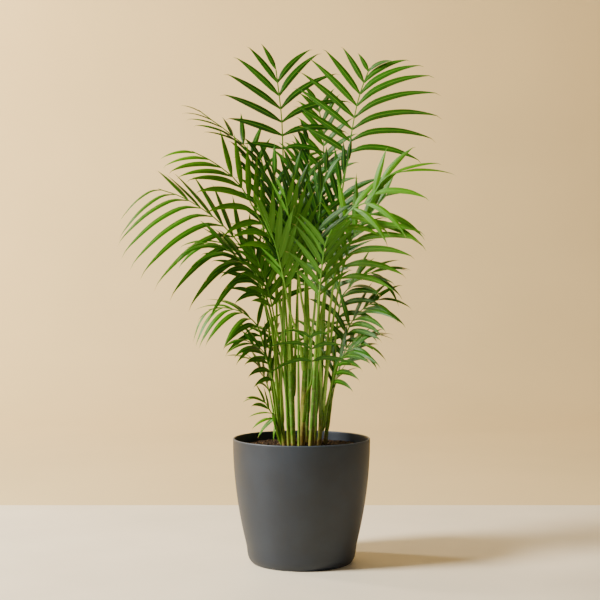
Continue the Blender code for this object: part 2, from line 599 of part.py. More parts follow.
def stalk_line(frond, swing, climb, shift):
    """The frond's line from its cane out.

    swing turns its foot round the cane, climb moves it up the cane, and shift moves the open route
    aside.
    """
    cane = CANES[frond.cane]
    _, at_soil, end = cane_line(cane)
    up = (end - at_soil).normalized()
    route = [point(*p) for p in frond.route]
    aside = shift * PLANT_SCALE
    moved = [p + aside * min(1, (i + 1) / 2) for i, p in enumerate(route)]
    if frond.share >= 1:
        start = end + up * GAP
        return Line([start, start + up * SHEATH * PLANT_SCALE, *moved])
    start = at_soil.lerp(end, frond.share) + up * climb * PLANT_SCALE
    outward = moved[0] - start
    outward = (outward - up * outward.dot(up)).normalized()
    outward = Matrix.Rotation(math.radians(swing), 3, up) @ outward
    beside = cane_radius(cane, frond.share) * SCAR_SWELL + GAP
    start = start + outward * (beside + STALK_WIDTH * STALK_DEPTH * PLANT_SCALE)
    return Line([start, start + up * SHEATH * PLANT_SCALE + outward * GAP, *moved])


def stalk_frame(frond, line, distance):
    """(along, right, up) of the stalk at a distance: up is its grooved side."""
    along = line.along(distance)
    face = Vector(frond.face)
    up = (face - along * face.dot(along)).normalized()
    return along, along.cross(up), up


def stalk_half_width(line, distance):
    share = distance / line.length
    return (STALK_WIDTH + (STALK_TIP_WIDTH - STALK_WIDTH) * share) * PLANT_SCALE


def stalk_ring(frond, line, distance, extra=0.0):
    """Left, right and keel corners. The stalk's flat upper side is between the first two."""
    _, right, up = stalk_frame(frond, line, distance)
    middle = line.at(distance)
    half = stalk_half_width(line, distance) + extra
    crest = middle + up * half * STALK_CREST
    return [crest - right * half, crest + right * half, middle - up * half * STALK_DEPTH]


def leaflet_places(frond, line):
    """Distances along the stalk at which the pairs start."""
    first = frond.bare * line.length
    last = line.length - 2 * LEAFLET_FOOT * PLANT_SCALE
    if frond.pairs == 1:
        return [last]
    return [first + (last - first) * k / (frond.pairs - 1) for k in range(frond.pairs)]


def stalk_stations(frond, line):
    """Distances of the stalk's rings: a few up to the first pair, then both edges of each foot."""
    places = leaflet_places(frond, line)
    plain = max(3, round(places[0] / STALK_STEP))
    stations = [places[0] * i / plain for i in range(plain)]
    for place in places:
        stations += [place, place + LEAFLET_FOOT * PLANT_SCALE]
    return stations


def settle_stalk(name, frond, room):
    """The frond's line, leaning aside just enough to clear the others."""
    ways = [(w, c, s) for w in STALK_SWINGS for c in STALK_CLIMBS for s in STALK_SHIFTS]
    units = (STALK_SWINGS[1], STALK_CLIMBS[1], STALK_SHIFTS[1])
    ways.sort(key=lambda way: sum(abs(part) / unit for part, unit in zip(way, units)))
    for swing, climb, far in ways:
        for shift_way in SHIFT_WAYS:
            line = stalk_line(frond, swing, climb, Vector(shift_way) * far)
            stations = stalk_stations(frond, line)
            wide = sleeve([stalk_ring(frond, line, s, CLEARANCE) for s in stations])
            true = sleeve([stalk_ring(frond, line, s) for s in stations])
            if room.is_free(*wide, ignoring=(frond.cane,)) and room.is_free(*true):
                room.add(name, *true)
                return line
    raise ValueError(f"{name} finds no way between the others")


# ----------------------------------------------------------------------- leaflets


def leaflet_length(frond, share):
    """The pair's length, at its share of the way from the first pair to the last."""
    first, longest, last = frond.lengths
    if share < LONGEST_AT:
        long = longest - (longest - first) * (1 - share / LONGEST_AT) ** 2
    else:
        long = longest - (longest - last) * ((share - LONGEST_AT) / (1 - LONGEST_AT)) ** 2
    return long * PLANT_SCALE


def leaflet_rings(frond, line, place, share, side, way, extra=0.0):
    """Rings of 4 corners, from just clear of the stalk to the tip, and the tip itself.

    side is -1 on the left and 1 on the right. way is (turn, lift, length share), which change the
    leaflet where it has to pass clear of its neighbours. extra makes it that much thicker all round.
    """
    turn, lift_more, shorter = way
    foot = LEAFLET_FOOT * PLANT_SCALE
    along, right, up = stalk_frame(frond, line, place + foot / 2)
    first_spread, last_spread, droop = frond.left if side < 0 else frond.right
    spread = math.radians(first_spread + (last_spread - first_spread) * share + turn)
    lift = math.radians(frond.lift + lift_more)
    outward = right * side * math.cos(lift) + up * math.sin(lift)
    direction = along * math.cos(spread) + outward * math.sin(spread)
    half_stalk = stalk_half_width(line, place)
    start = line.at(place + foot / 2) + right * side * half_stalk * 0.5
    long = leaflet_length(frond, share) * shorter
    pull = DOWN - direction * DOWN.dot(direction)
    width_way = (along - direction * along.dot(direction)).normalized()
    hand = 1 if direction.cross(width_way).dot(up) > 0 else -1

    def spine(t):
        return start + long * (direction * t + pull * droop * t * t)

    def across(t, width, thickness):
        heading = (direction + 2 * pull * droop * t).normalized()
        wide = (width_way - heading * width_way.dot(heading)).normalized()
        a = wide * (width / 2 + extra)
        b = heading.cross(wide) * hand * (thickness / 2 + extra)
        middle = spine(t)
        return [middle - a - b, middle - a + b, middle + a + b, middle + a - b]

    grown = min(1, long / (LONG_LEAFLET * PLANT_SCALE))
    full = LEAFLET_WIDTH * PLANT_SCALE * (LEAST_WIDTH + (1 - LEAST_WIDTH) * grown)
    rings = [
        across(CLEAR_FROM / long, foot, half_stalk * (STALK_DEPTH + STALK_CREST)),
        across(WIDEST_AT, full, LEAFLET_THICKNESS),
        across(NARROWING_AT, full * NARROWED, LEAFLET_THICKNESS),
        across(1, TIP_WIDTH, TIP_WIDTH),
    ]
    return rings, spine(1)


def settle_leaflet(name, frond, line, place, share, side, room):
    """The leaflet's rings and tip, where it is clear of all that is there.

    Returns None where there is no such way: a leaflet with no room to open doesn't grow.
    """
    ways = [(t, l, s) for s in LEAFLET_SHARES for t in LEAFLET_TURNS for l in LEAFLET_LIFTS]
    ways.sort(key=lambda way: abs(way[0]) * TURN_COST + abs(way[1]) + (1 - way[2]) * SHORTER_COST)
    for way in ways:
        wide, _ = leaflet_rings(frond, line, place, share, side, way, CLEARANCE)
        if not room.is_free(*sleeve(wide), ignoring=(name,)):
            continue
        true, tip = leaflet_rings(frond, line, place, share, side, way)
        if room.is_free(*sleeve(true[1:])):
            room.add(f"{name}_leaflet", *sleeve(true))
            return true[1:-1], tip
    return None


def grow_leaflet(bm, face, rings, tip):
    """Extrudes the stalk's side face along the leaflet's rings to its tip."""
    for corners_of_ring in rings:
        face = bmesh.ops.extrude_discrete_faces(bm, faces=[face])["faces"][0]
        for vert, place in zip(face.verts, corners_of_ring):
            vert.co = place
    face = bmesh.ops.extrude_discrete_faces(bm, faces=[face])["faces"][0]
    bmesh.ops.pointmerge(bm, verts=face.verts[:], merge_co=tip)


def make_frond(name, frond, line, room, finish):
    """The stalk's three-sided rod, with each leaflet grown from its side faces."""
    bm = bmesh.new()
    stations = stalk_stations(frond, line)
    rings = [[bm.verts.new(p) for p in stalk_ring(frond, line, s)] for s in stations]
    sides = []
    for (left, right, keel), (next_left, next_right, next_keel) in zip(rings, rings[1:]):
        bm.faces.new((left, right, next_right, next_left))
        on_left = bm.faces.new((keel, left, next_left, next_keel))
        on_right = bm.faces.new((keel, right, next_right, next_keel))
        sides.append((on_left, on_right))
    bm.faces.new(rings[0])
    tip = bm.verts.new(line.at(line.length))
    for i in range(3):
        bm.faces.new((rings[-1][i], rings[-1][(i + 1) % 3], tip))
    places = leaflet_places(frond, line)
    first_pair = len(stations) - 2 * len(places)
    for k, place in enumerate(places):
        share = k / max(1, len(places) - 1)
        for side, face in zip((-1, 1), sides[first_pair + 2 * k]):
            found = settle_leaflet(name, frond, line, place, share, side, room)
            if found:
                grow_leaflet(bm, face, *found)
    add_object(name, bm, finish, smooth_under=30)


# ----------------------------------------------------------------------- the whole


def main():
    clear_scene()
    plastic = material("charcoal plastic", (0.055, 0.058, 0.062), 0.5)
    earth = material("potting soil", (0.035, 0.022, 0.014), 0.95)
    cane_skin = material("green cane", (0.32, 0.42, 0.08), 0.45)
    leaf = material("palm leaf", (0.07, 0.22, 0.02), 0.4)
    cutters = bpy.data.collections.new("socket cutters")
    bpy.context.scene.collection.children.link(cutters)
    room = Room()
    make_pot(plastic, room)
    for name, cane in CANES.items():
        plant(name, cane, cane_stations(cane), cane_skin, cutters, room)
    for name, spear in SPEARS.items():
        plant(name, spear, spear_stations(spear), leaf, cutters, room)
    make_soil(earth, cutters)
    lines = {name: settle_stalk(name, frond, room) for name, frond in FRONDS.items()}
    for name, frond in FRONDS.items():
        make_frond(name, frond, lines[name], room, leaf)


main()
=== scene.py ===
"""A young areca palm in a charcoal plastic pot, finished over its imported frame.

From the ground up: the pot, the potting soil, the canes with their spears and the fronds, then the studio.
"""

import math

import bmesh
import bpy
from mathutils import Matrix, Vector, noise


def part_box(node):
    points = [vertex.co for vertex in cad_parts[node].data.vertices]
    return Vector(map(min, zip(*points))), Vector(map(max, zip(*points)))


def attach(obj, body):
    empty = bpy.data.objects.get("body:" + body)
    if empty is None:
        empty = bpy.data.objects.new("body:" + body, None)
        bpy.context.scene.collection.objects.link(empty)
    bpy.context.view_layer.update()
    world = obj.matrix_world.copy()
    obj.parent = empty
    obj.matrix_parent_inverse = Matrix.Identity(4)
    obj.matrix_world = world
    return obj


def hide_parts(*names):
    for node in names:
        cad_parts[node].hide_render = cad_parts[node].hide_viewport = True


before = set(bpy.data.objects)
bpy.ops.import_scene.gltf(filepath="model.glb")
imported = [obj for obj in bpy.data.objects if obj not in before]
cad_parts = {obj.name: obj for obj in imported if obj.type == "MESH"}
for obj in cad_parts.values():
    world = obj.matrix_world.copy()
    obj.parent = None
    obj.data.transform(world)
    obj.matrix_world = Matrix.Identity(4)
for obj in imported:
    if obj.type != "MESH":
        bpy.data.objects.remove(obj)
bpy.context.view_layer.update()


# -------------------------------------------------------------------------------------------------- pot
# One round tub of injection-moulded polypropylene, coloured right through with charcoal pigment, with a
# thin tapered wall and a rounded lip. The fine grain of the mould's blasted steel is left on it, and
# the top of the lip carries a painted highlight, a paler band of colour.

POT_SIDES = 160
POT_CHARCOAL = "#1b2430"
POT_DUSTY = "#232d3a"
# The lip colour below is a painted highlight, not the plastic's own colour.
POT_LIP_HIGHLIGHT = "#3e4956"
LIP_STEPS = 10
MOULD_GRAIN = 0.0011  # real grain is about 0.3 mm; drawn coarser so that it shows
WALL_STEPS = 6  # between two points of the CAD section


def linear(colour, alpha=1.0):
    """An sRGB hex colour as linear RGBA."""
    parts = [int(colour[i : i + 2], 16) / 255 for i in (1, 3, 5)]
    return (*[p / 12.92 if p <= 0.04045 else ((p + 0.055) / 1.055) ** 2.4 for p in parts], alpha)


def add(tree, kind, inputs=None, **settings):
    """A new node. settings are its properties, and each input is a value or the socket that feeds it."""
    node = tree.nodes.new(kind)
    for name, value in settings.items():
        setattr(node, name, value)
    for key, value in (inputs or {}).items():
        if isinstance(value, bpy.types.NodeSocket):
            tree.links.new(value, node.inputs[key])
        else:
            node.inputs[key].default_value = value
    return node


def ramp(tree, value, start=0.0, end=1.0, low=0.0, high=1.0):
    """A node that turns values from start to end into low to high, and holds them there."""
    return add(tree, "ShaderNodeMapRange", {"Value": value, "From Min": start, "From Max": end,
                                            "To Min": low, "To Max": high})


def blend(tree, factor, first, second):
    """A node that mixes two colours: all first at 0, all second at 1."""
    return add(tree, "ShaderNodeMix", {"Factor": factor, "A": first, "B": second}, data_type="RGBA")


def new_material(name, roughness, **shader_values):
    """A material with its own Principled shader: (material, tree, shader)."""
    made = bpy.data.materials.new(name)
    made.use_nodes = True
    shader = made.node_tree.nodes["Principled BSDF"]
    shader.inputs["Roughness"].default_value = roughness
    for key, value in shader_values.items():
        shader.inputs[key.replace("_", " ")].default_value = value
    return made, made.node_tree, shader


def new_piece(name, mesh, node):
    """The finished mesh as a piece that stands for its CAD node."""
    piece = bpy.data.objects.new(name, mesh)
    bpy.context.scene.collection.objects.link(piece)
    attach(piece, "root")
    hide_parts(node)
    return piece


def merged(node):
    """A copy of a CAD node's mesh with its loose triangles joined up."""
    bm = bmesh.new()
    bm.from_mesh(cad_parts[node].data)
    bmesh.ops.remove_doubles(bm, verts=bm.verts[:], dist=2e-6)
    return bm


def moulded_profile(node):
    """The pot's section at y = 0, from the edge of its foot up and over the lip to its inner floor."""
    bm = merged(node)
    on_section = {v for v in bm.verts if abs(v.co.y) < 1e-5 and v.co.x > 0}
    vert = min(on_section, key=lambda v: v.co.z)
    profile, seen = [], set()
    while vert:
        profile.append(vert.co.copy())
        seen.add(vert)
        near = [e.other_vert(vert) for e in vert.link_edges if e.other_vert(vert) in on_section - seen]
        vert = near[0] if near else None
    bm.free()
    return profile


def rounded(points, steps):
    """A smooth curve through points spaced at any distances, with so many steps in each stretch."""
    ends = [2 * points[0] - points[1], *points, 2 * points[-1] - points[-2]]
    run = []
    for a, b, c, d in zip(ends, ends[1:], ends[2:], ends[3:]):
        before, span, after = (b - a).length, (c - b).length, (d - c).length
        leave = ((b - a) / before * span + (c - b) / span * before) / (before + span) * span
        arrive = ((c - b) / span * after + (d - c) / after * span) / (span + after) * span
        for i in range(steps):
            t = i / steps
            run.append((2 * t**3 - 3 * t**2 + 1) * b + (t**3 - 2 * t**2 + t) * leave
                       + (3 * t**2 - 2 * t**3) * c + (t**3 - t**2) * arrive)
    return run + [points[-1]]


# The corners of the CAD lip are left out of the section, and a round turn takes their place.
section = moulded_profile("pot")
top = max(range(len(section)), key=lambda i: section[i].z)
outside, inside = section[: top - 1], section[top + 2 :]
lip_middle, lip_out = (outside[-1] + inside[0]) / 2, (outside[-1] - inside[0]) / 2
lip_turns = [math.pi * i / LIP_STEPS for i in range(1, LIP_STEPS)]
lip = [lip_middle + lip_out * math.cos(a) + Vector((0, 0, lip_out.length * math.sin(a)))
       for a in lip_turns]
foot_middle, floor_middle = (Vector((0, 0, section[i].z)) for i in (0, -1))
pot_mesh = bpy.data.meshes.new("pot")
tub = bmesh.new()
outline = [foot_middle, *rounded(outside, WALL_STEPS), *lip, *rounded(inside, WALL_STEPS), floor_middle]
line = [tub.verts.new(p) for p in outline]
edges = [tub.edges.new(pair) for pair in zip(line, line[1:])]
bmesh.ops.spin(tub, geom=line + edges, axis=(0, 0, 1), cent=(0, 0, 0), steps=POT_SIDES, angle=math.tau)
bmesh.ops.remove_doubles(tub, verts=tub.verts[:], dist=1e-6)
bmesh.ops.recalc_face_normals(tub, faces=tub.faces[:])
tub.to_mesh(pot_mesh)
tub.free()
pot_mesh.shade_smooth()
pot_mesh.set_sharp_from_angle(angle=math.radians(50))
lip_height = max(p.z for p in section)

# Moulded polypropylene, charcoal: dull and even, with a soft broad highlight and a faint cloudiness
# from handling.
plastic, tree, shader = new_material("moulded polypropylene, charcoal", 0.48, IOR=1.49,
                                     Specular_IOR_Level=0.5)
where = add(tree, "ShaderNodeTexCoord")
clouds = add(tree, "ShaderNodeTexNoise", {"Vector": where.outputs["Object"], "Scale": 1 / 0.045,
                                          "Detail": 5.0})
cloudy = ramp(tree, clouds.outputs["Fac"], 0.40, 0.75)
body = blend(tree, cloudy.outputs["Result"], linear(POT_CHARCOAL), linear(POT_DUSTY))
height = add(tree, "ShaderNodeSeparateXYZ", {"Vector": where.outputs["Object"]})
# Painted highlight: the top two millimetres of the lip are mixed towards the paler lip colour.
painted_lip_highlight = ramp(tree, height.outputs["Z"], lip_height - 0.0022, lip_height - 0.0002)
whole = blend(tree, painted_lip_highlight.outputs["Result"], body.outputs["Result"], linear(POT_LIP_HIGHLIGHT))
grain = add(tree, "ShaderNodeTexNoise", {"Vector": where.outputs["Object"], "Scale": 1 / MOULD_GRAIN,
                                         "Detail": 2.0})
worn = ramp(tree, clouds.outputs["Fac"], low=0.42, high=0.58)
relief = add(tree, "ShaderNodeBump", {"Height": grain.outputs["Fac"], "Strength": 0.25,
                                      "Distance": 0.0002})
tree.links.new(whole.outputs["Result"], shader.inputs["Base Color"])
tree.links.new(worn.outputs["Result"], shader.inputs["Roughness"])
tree.links.new(relief.outputs["Normal"], shader.inputs["Normal"])
pot_mesh.materials.append(plastic)
new_piece("pot_moulded", pot_mesh, "pot")


# ------------------------------------------------------------------------------------------------- soil
# Peat-based potting mix, filled by hand to a little under the lip and pressed round the canes.
# Its top is uneven, loose and crumbly, with darker damp hollows and a few pale wood fibres.

SOIL_RINGS = 44
SOIL_SIDES = 150
SOIL_LUMP = 0.016  # across the uneven patches
SOIL_RISE = 0.0022
CRUMB = 0.0017  # half the size of a common crumb
CRUMBS = 95000.0  # in a square metre
BED_SHARE = 0.997  # of the CAD soil's radius
SINKS_FROM, SINKS_OVER = 0.8, 0.2  # shares of the radius: the soil sinks in this outer part
EDGE_SHARE = 0.97  # further out than this share of the radius is the soil's edge
SIDE_SHARE, SIDE_BELOW = 0.6, 0.008  # the CAD verts on its side: this far out, and this far under the edge
PEAT_DARK = "#1d140c"
PEAT = "#3a2818"
PEAT_DRY = "#5e4630"
BARK = "#7a5c3c"

soil_low, soil_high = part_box("soil")
soil_radius = (soil_high.x - soil_low.x) / 2
soil_edge_high = max(v.co.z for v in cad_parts["soil"].data.vertices
                     if math.hypot(*v.co.xy) > soil_radius * EDGE_SHARE)


def soil_top(x, y):
    """Height of the pressed soil: it sinks towards the wall, with lumps on it."""
    out = min(1, math.hypot(x, y) / soil_radius)
    level = soil_high.z - (soil_high.z - soil_edge_high) * max(0, out - SINKS_FROM) / SINKS_OVER
    lumps = noise.fractal(Vector((x, y, 0)) / SOIL_LUMP, 0.8, 2.1, 4)
    return level + SOIL_RISE * (lumps - 0.2)


bed = bmesh.new()
turns = [math.tau * i / SOIL_SIDES for i in range(SOIL_SIDES)]
middle = bed.verts.new((0, 0, soil_top(0, 0)))
circles = []
for k in range(1, SOIL_RINGS + 1):
    radius = soil_radius * k / SOIL_RINGS * BED_SHARE
    circles.append([bed.verts.new((radius * math.cos(a), radius * math.sin(a),
                                   soil_top(radius * math.cos(a), radius * math.sin(a))))
                    for a in turns])
side_radii = {}
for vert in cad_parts["soil"].data.vertices:
    z, radius = round(vert.co.z, 4), math.hypot(*vert.co.xy)
    if radius > soil_radius * SIDE_SHARE and z < soil_edge_high - SIDE_BELOW:
        side_radii[z] = max(radius, side_radii.get(z, 0.0))
for z in sorted(side_radii, reverse=True):
    radius = side_radii[z]
    circles.append([bed.verts.new((radius * math.cos(a), radius * math.sin(a), z)) for a in turns])
for i in range(SOIL_SIDES):
    bed.faces.new((middle, circles[0][i], circles[0][(i + 1) % SOIL_SIDES]))
for inner, outer in zip(circles, circles[1:]):
    for i in range(SOIL_SIDES):
        j = (i + 1) % SOIL_SIDES
        bed.faces.new((inner[i], outer[i], outer[j], inner[j]))
bed.faces.new(circles[-1])
bmesh.ops.recalc_face_normals(bed, faces=bed.faces[:])
bed_mesh = bpy.data.meshes.new("soil bed")
bed.to_mesh(bed_mesh)
bed.free()
bed_mesh.shade_smooth()

# Damp peat: nearly black in the hollows, brown on top, dead matt.
peat, tree, shader = new_material("potting mix, damp peat", 0.95, IOR=1.45, Specular_IOR_Level=0.25)
where = add(tree, "ShaderNodeTexCoord")
patches = add(tree, "ShaderNodeTexNoise", {"Vector": where.outputs["Object"], "Scale": 1 / 0.006,
                                           "Detail": 6.0})
damp = ramp(tree, patches.outputs["Fac"], 0.38, 0.66)
browns = blend(tree, damp.outputs["Result"], linear(PEAT_DARK), linear(PEAT))
kind = add(tree, "ShaderNodeAttribute", attribute_name="crumb")
dry = ramp(tree, kind.outputs["Fac"], 0.55, 0.92)
drier = blend(tree, dry.outputs["Result"], browns.outputs["Result"], linear(PEAT_DRY))
chip = ramp(tree, kind.outputs["Fac"], 0.965, 0.975)
mix = blend(tree, chip.outputs["Result"], drier.outputs["Result"], linear(BARK))
pores = add(tree, "ShaderNodeTexNoise", {"Vector": where.outputs["Object"], "Scale": 1 / 0.0012,
                                         "Detail": 4.0})
relief = add(tree, "ShaderNodeBump", {"Height": pores.outputs["Fac"], "Strength": 0.9,
                                      "Distance": 0.0008})
tree.links.new(mix.outputs["Result"], shader.inputs["Base Color"])
tree.links.new(relief.outputs["Normal"], shader.inputs["Normal"])

# Loose crumbs on the bed: small angular bodies of every size, scattered and part sunk.
crumbs = bpy.data.node_groups.new("soil crumbs", "GeometryNodeTree")
crumbs.is_modifier = True
crumbs.interface.new_socket("Geometry", in_out="INPUT", socket_type="NodeSocketGeometry")
for name, kind_of, value in (("Crumb size", "NodeSocketFloat", CRUMB),
                             ("Crumbs per area", "NodeSocketFloat", CRUMBS),
                             ("Widest", "NodeSocketFloat", soil_radius - 1.6 * CRUMB),
                             ("Lowest", "NodeSocketFloat", soil_edge_high - 0.004),
                             ("Seed", "NodeSocketInt", 7), ("Finish", "NodeSocketMaterial", None)):
    socket = crumbs.interface.new_socket(name, in_out="INPUT", socket_type=kind_of)
    if value is not None:
        socket.default_value = value
crumbs.interface.new_socket("Geometry", in_out="OUTPUT", socket_type="NodeSocketGeometry")
given = add(crumbs, "NodeGroupInput").outputs
place = add(crumbs, "GeometryNodeInputPosition")
place_z = add(crumbs, "ShaderNodeSeparateXYZ", {"Vector": place.outputs["Position"]})
on_top = add(crumbs, "FunctionNodeCompare", {"A": place_z.outputs["Z"], "B": given["Lowest"]},
             operation="GREATER_THAN")
place_flat = add(crumbs, "ShaderNodeCombineXYZ", {"X": place_z.outputs["X"], "Y": place_z.outputs["Y"]})
out_to = add(crumbs, "ShaderNodeVectorMath", {0: place_flat.outputs["Vector"]}, operation="LENGTH")
inside_wall = add(crumbs, "FunctionNodeCompare", {"A": out_to.outputs["Value"], "B": given["Widest"]},
                  operation="LESS_THAN")
loose = add(crumbs, "FunctionNodeBooleanMath", {0: on_top.outputs["Result"],
                                                1: inside_wall.outputs["Result"]})
scatter = add(crumbs, "GeometryNodeDistributePointsOnFaces",
              {"Mesh": given["Geometry"], "Selection": loose.outputs["Boolean"],
               "Density": given["Crumbs per area"], "Seed": given["Seed"]})
lump = add(crumbs, "GeometryNodeMeshIcoSphere", {"Radius": 1.0, "Subdivisions": 1})
rough = add(crumbs, "ShaderNodeTexNoise", {"Scale": 0.9, "Detail": 1.0})
push = add(crumbs, "ShaderNodeVectorMath", {0: rough.outputs["Color"], 1: (0.5, 0.5, 0.5)},
           operation="SUBTRACT")
angular = add(crumbs, "GeometryNodeSetPosition",
              {"Geometry": lump.outputs["Mesh"], "Offset": push.outputs["Vector"]})
turn = add(crumbs, "FunctionNodeRandomValue", {"Max": (math.tau, math.tau, math.tau), "Seed": 3},
           data_type="FLOAT_VECTOR")
draw = add(crumbs, "FunctionNodeRandomValue", {"Seed": 11}, data_type="FLOAT")
rare_big = add(crumbs, "ShaderNodeMath", {0: draw.outputs[1], 1: 5.0}, operation="POWER")
size = ramp(crumbs, rare_big.outputs["Value"], low=0.30, high=1.5)
stretch = add(crumbs, "FunctionNodeRandomValue",
              {"Min": (0.7, 0.5, 0.4), "Max": (1.4, 1.0, 0.8), "Seed": 5}, data_type="FLOAT_VECTOR")
scaled = add(crumbs, "ShaderNodeMath", {0: size.outputs["Result"], 1: given["Crumb size"]},
             operation="MULTIPLY")
full = add(crumbs, "ShaderNodeVectorMath", {0: stretch.outputs[0], "Scale": scaled.outputs["Value"]},
           operation="SCALE")
strewn = add(crumbs, "GeometryNodeInstanceOnPoints",
             {"Points": scatter.outputs["Points"], "Instance": angular.outputs["Geometry"],
              "Rotation": turn.outputs[0], "Scale": full.outputs["Vector"]})
tint = add(crumbs, "FunctionNodeRandomValue", {"Seed": 23}, data_type="FLOAT")
tinted = add(crumbs, "GeometryNodeStoreNamedAttribute",
             {"Geometry": strewn.outputs["Instances"], "Name": "crumb", "Value": tint.outputs[1]},
             data_type="FLOAT", domain="INSTANCE")
joined = add(crumbs, "GeometryNodeJoinGeometry")
crumbs.links.new(tinted.outputs["Geometry"], joined.inputs["Geometry"])
crumbs.links.new(given["Geometry"], joined.inputs["Geometry"])
real = add(crumbs, "GeometryNodeRealizeInstances", {"Geometry": joined.outputs["Geometry"]})
dressed = add(crumbs, "GeometryNodeSetMaterial",
              {"Geometry": real.outputs["Geometry"], "Material": given["Finish"]})
add(crumbs, "NodeGroupOutput", {"Geometry": dressed.outputs["Geometry"]})


def grown(name, mesh, nodes, values):
    """The mesh that a node tree makes of the given one, with the tree's named inputs set."""
    raw = bpy.data.objects.new(name, mesh)
    bpy.context.scene.collection.objects.link(raw)
    modifier = raw.modifiers.new(name, "NODES")
    modifier.node_group = nodes
    for item in nodes.interface.items_tree:
        if item.in_out == "INPUT" and item.name in values:
            modifier[item.identifier] = values[item.name]
    depsgraph = bpy.context.evaluated_depsgraph_get()
    made = bpy.data.meshes.new_from_object(raw.evaluated_get(depsgraph))
    bpy.data.objects.remove(raw)
    made.name = name
    return made


soil_mesh = grown("soil crumbly", bed_mesh, crumbs, {"Finish": peat})
new_piece("soil_crumbly", soil_mesh, "soil")


# ------------------------------------------------------------------------------------------------ canes
# Living stems, each a few years old: green and waxy above, yellowing and then corky brown at the soil.
# Where an old leaf fell there is a scar, a narrow brown ring on a slight swelling. The spears between
# them are young leaves still folded to a point, without scars.

CANE_STEPS = 70
CANE_SIDES = 20
SCAR_WIDTH = 0.0012
SCAR_SPACING = 0.021
FIRST_SCAR, FIRST_SCAR_VARIES = 0.043, 0.004  # how far up from the cane's foot
SCAR_SWELL, SCAR_SWELL_REACH = 0.07, 0.0030  # share of the radius, and how far from the scar
SCAR_GROOVE = 0.05  # share of the radius
SCAR_STAIN, SCAR_STAIN_REACH = 0.40, 0.6  # how brown, and how far as a share of the scar's width
BLOOM, BLOOM_BELOW, BLOOM_REACH = 0.15, 0.0026, 0.0015  # the pale wax under a scar
CANE_WANDER = 0.0007  # how far a cane strays from straight
SPEAR_SWELL = 0.15  # share of the radius
SPEAR_THICKEST = 0.45  # of its length
END_REACH = 0.0016  # the CAD verts of a rod's end lie this close to it
CANE_GREEN = "#52891a"
CANE_YELLOW = "#b4b04a"
CANE_BROWN = "#6e4e28"
SCAR_BROWN = "#6d5630"
SCAR_PALE = "#c8c488"
AGED_HIGHER, CORK_HIGHER = 0.075, 0.020  # how much further up an old cane is yellow, and corky


def rod_ends(node):
    """(foot, end, radius at the foot, radius at the end) of a cane."""
    bm = merged(node)
    points = [v.co.copy() for v in bm.verts]
    bm.free()
    low = min(points, key=lambda p: p.z)
    high = max(points, key=lambda p: p.z)
    along = (high - low).normalized()
    ends = []
    for pick in (low, high):
        for _ in range(3):
            near = [p for p in points if abs((p - pick).dot(along)) < END_REACH]
            centre = sum(near, Vector()) / len(near)
            pick = centre
        ends.append(centre)
        ends.append(max((p - centre).length for p in near))
    return ends[0], ends[2], ends[1], ends[3]


canes = {name: rod_ends(name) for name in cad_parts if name.startswith("cane_")}
spears = {name: rod_ends(name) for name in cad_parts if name.startswith("spear_")}
# 0 is green nearly to the soil, 1 is yellow high up.
CANE_AGE = {"cane_centre": 1.0, "cane_middle_right": 0.75, "cane_right": 0.30}

# Cane skin: waxy and smooth, streaked along its length, greener with height.
cane_skin, tree, shader = new_material("palm cane, waxy skin", 0.42, IOR=1.45, Subsurface_Weight=0.06)
shader.inputs["Subsurface Radius"].default_value = (0.6, 0.9, 0.25)
shader.inputs["Subsurface Scale"].default_value = 0.002
where = add(tree, "ShaderNodeTexCoord")
height = add(tree, "ShaderNodeSeparateXYZ", {"Vector": where.outputs["Object"]})
along_cane = add(tree, "ShaderNodeMapping", {"Vector": where.outputs["Object"], "Scale": (1, 1, 0.06)})
streaks = add(tree, "ShaderNodeTexNoise", {"Vector": along_cane.outputs["Vector"], "Scale": 1 / 0.0016,
                                           "Detail": 3.0})
blotches = add(tree, "ShaderNodeTexNoise", {"Vector": where.outputs["Object"], "Scale": 1 / 0.011,
                                            "Detail": 4.0})
uneven = add(tree, "ShaderNodeMath", {0: blotches.outputs["Fac"], 1: 0.075}, operation="MULTIPLY")
level = add(tree, "ShaderNodeMath", {0: height.outputs["Z"], 1: uneven.outputs["Value"]},
            operation="ADD")
age = add(tree, "ShaderNodeAttribute", attribute_name="age")
younger = add(tree, "ShaderNodeMath", {0: age.outputs["Fac"], 1: -AGED_HIGHER,
                                       2: level.outputs["Value"]}, operation="MULTIPLY_ADD")
greening = ramp(tree, younger.outputs["Value"], soil_high.z + 0.025, soil_high.z + 0.070)
skin = blend(tree, greening.outputs["Result"], linear(CANE_YELLOW), linear(CANE_GREEN))
fine = ramp(tree, streaks.outputs["Fac"], 0.3, 0.75, low=0.72, high=1.15)
streaked = add(tree, "ShaderNodeVectorMath", {0: skin.outputs["Result"],
                                              "Scale": fine.outputs["Result"]}, operation="SCALE")
corked = add(tree, "ShaderNodeMath", {0: age.outputs["Fac"], 1: -CORK_HIGHER,
                                      2: level.outputs["Value"]}, operation="MULTIPLY_ADD")
corky = ramp(tree, corked.outputs["Value"], soil_high.z + 0.036, soil_high.z + 0.050, low=0.80,
             high=0.0)
aged = blend(tree, corky.outputs["Result"], streaked.outputs["Vector"], linear(CANE_BROWN))
scar = add(tree, "ShaderNodeAttribute", attribute_name="scar")
scarred = blend(tree, scar.outputs["Fac"], aged.outputs["Result"], linear(SCAR_BROWN))
pale = add(tree, "ShaderNodeAttribute", attribute_name="under_scar")
bloomed = blend(tree, pale.outputs["Fac"], scarred.outputs["Result"], linear(SCAR_PALE))
relief = add(tree, "ShaderNodeBump", {"Height": streaks.outputs["Fac"], "Strength": 0.4,
                                      "Distance": 0.0003})
tree.links.new(bloomed.outputs["Result"], shader.inputs["Base Color"])
tree.links.new(relief.outputs["Normal"], shader.inputs["Normal"])

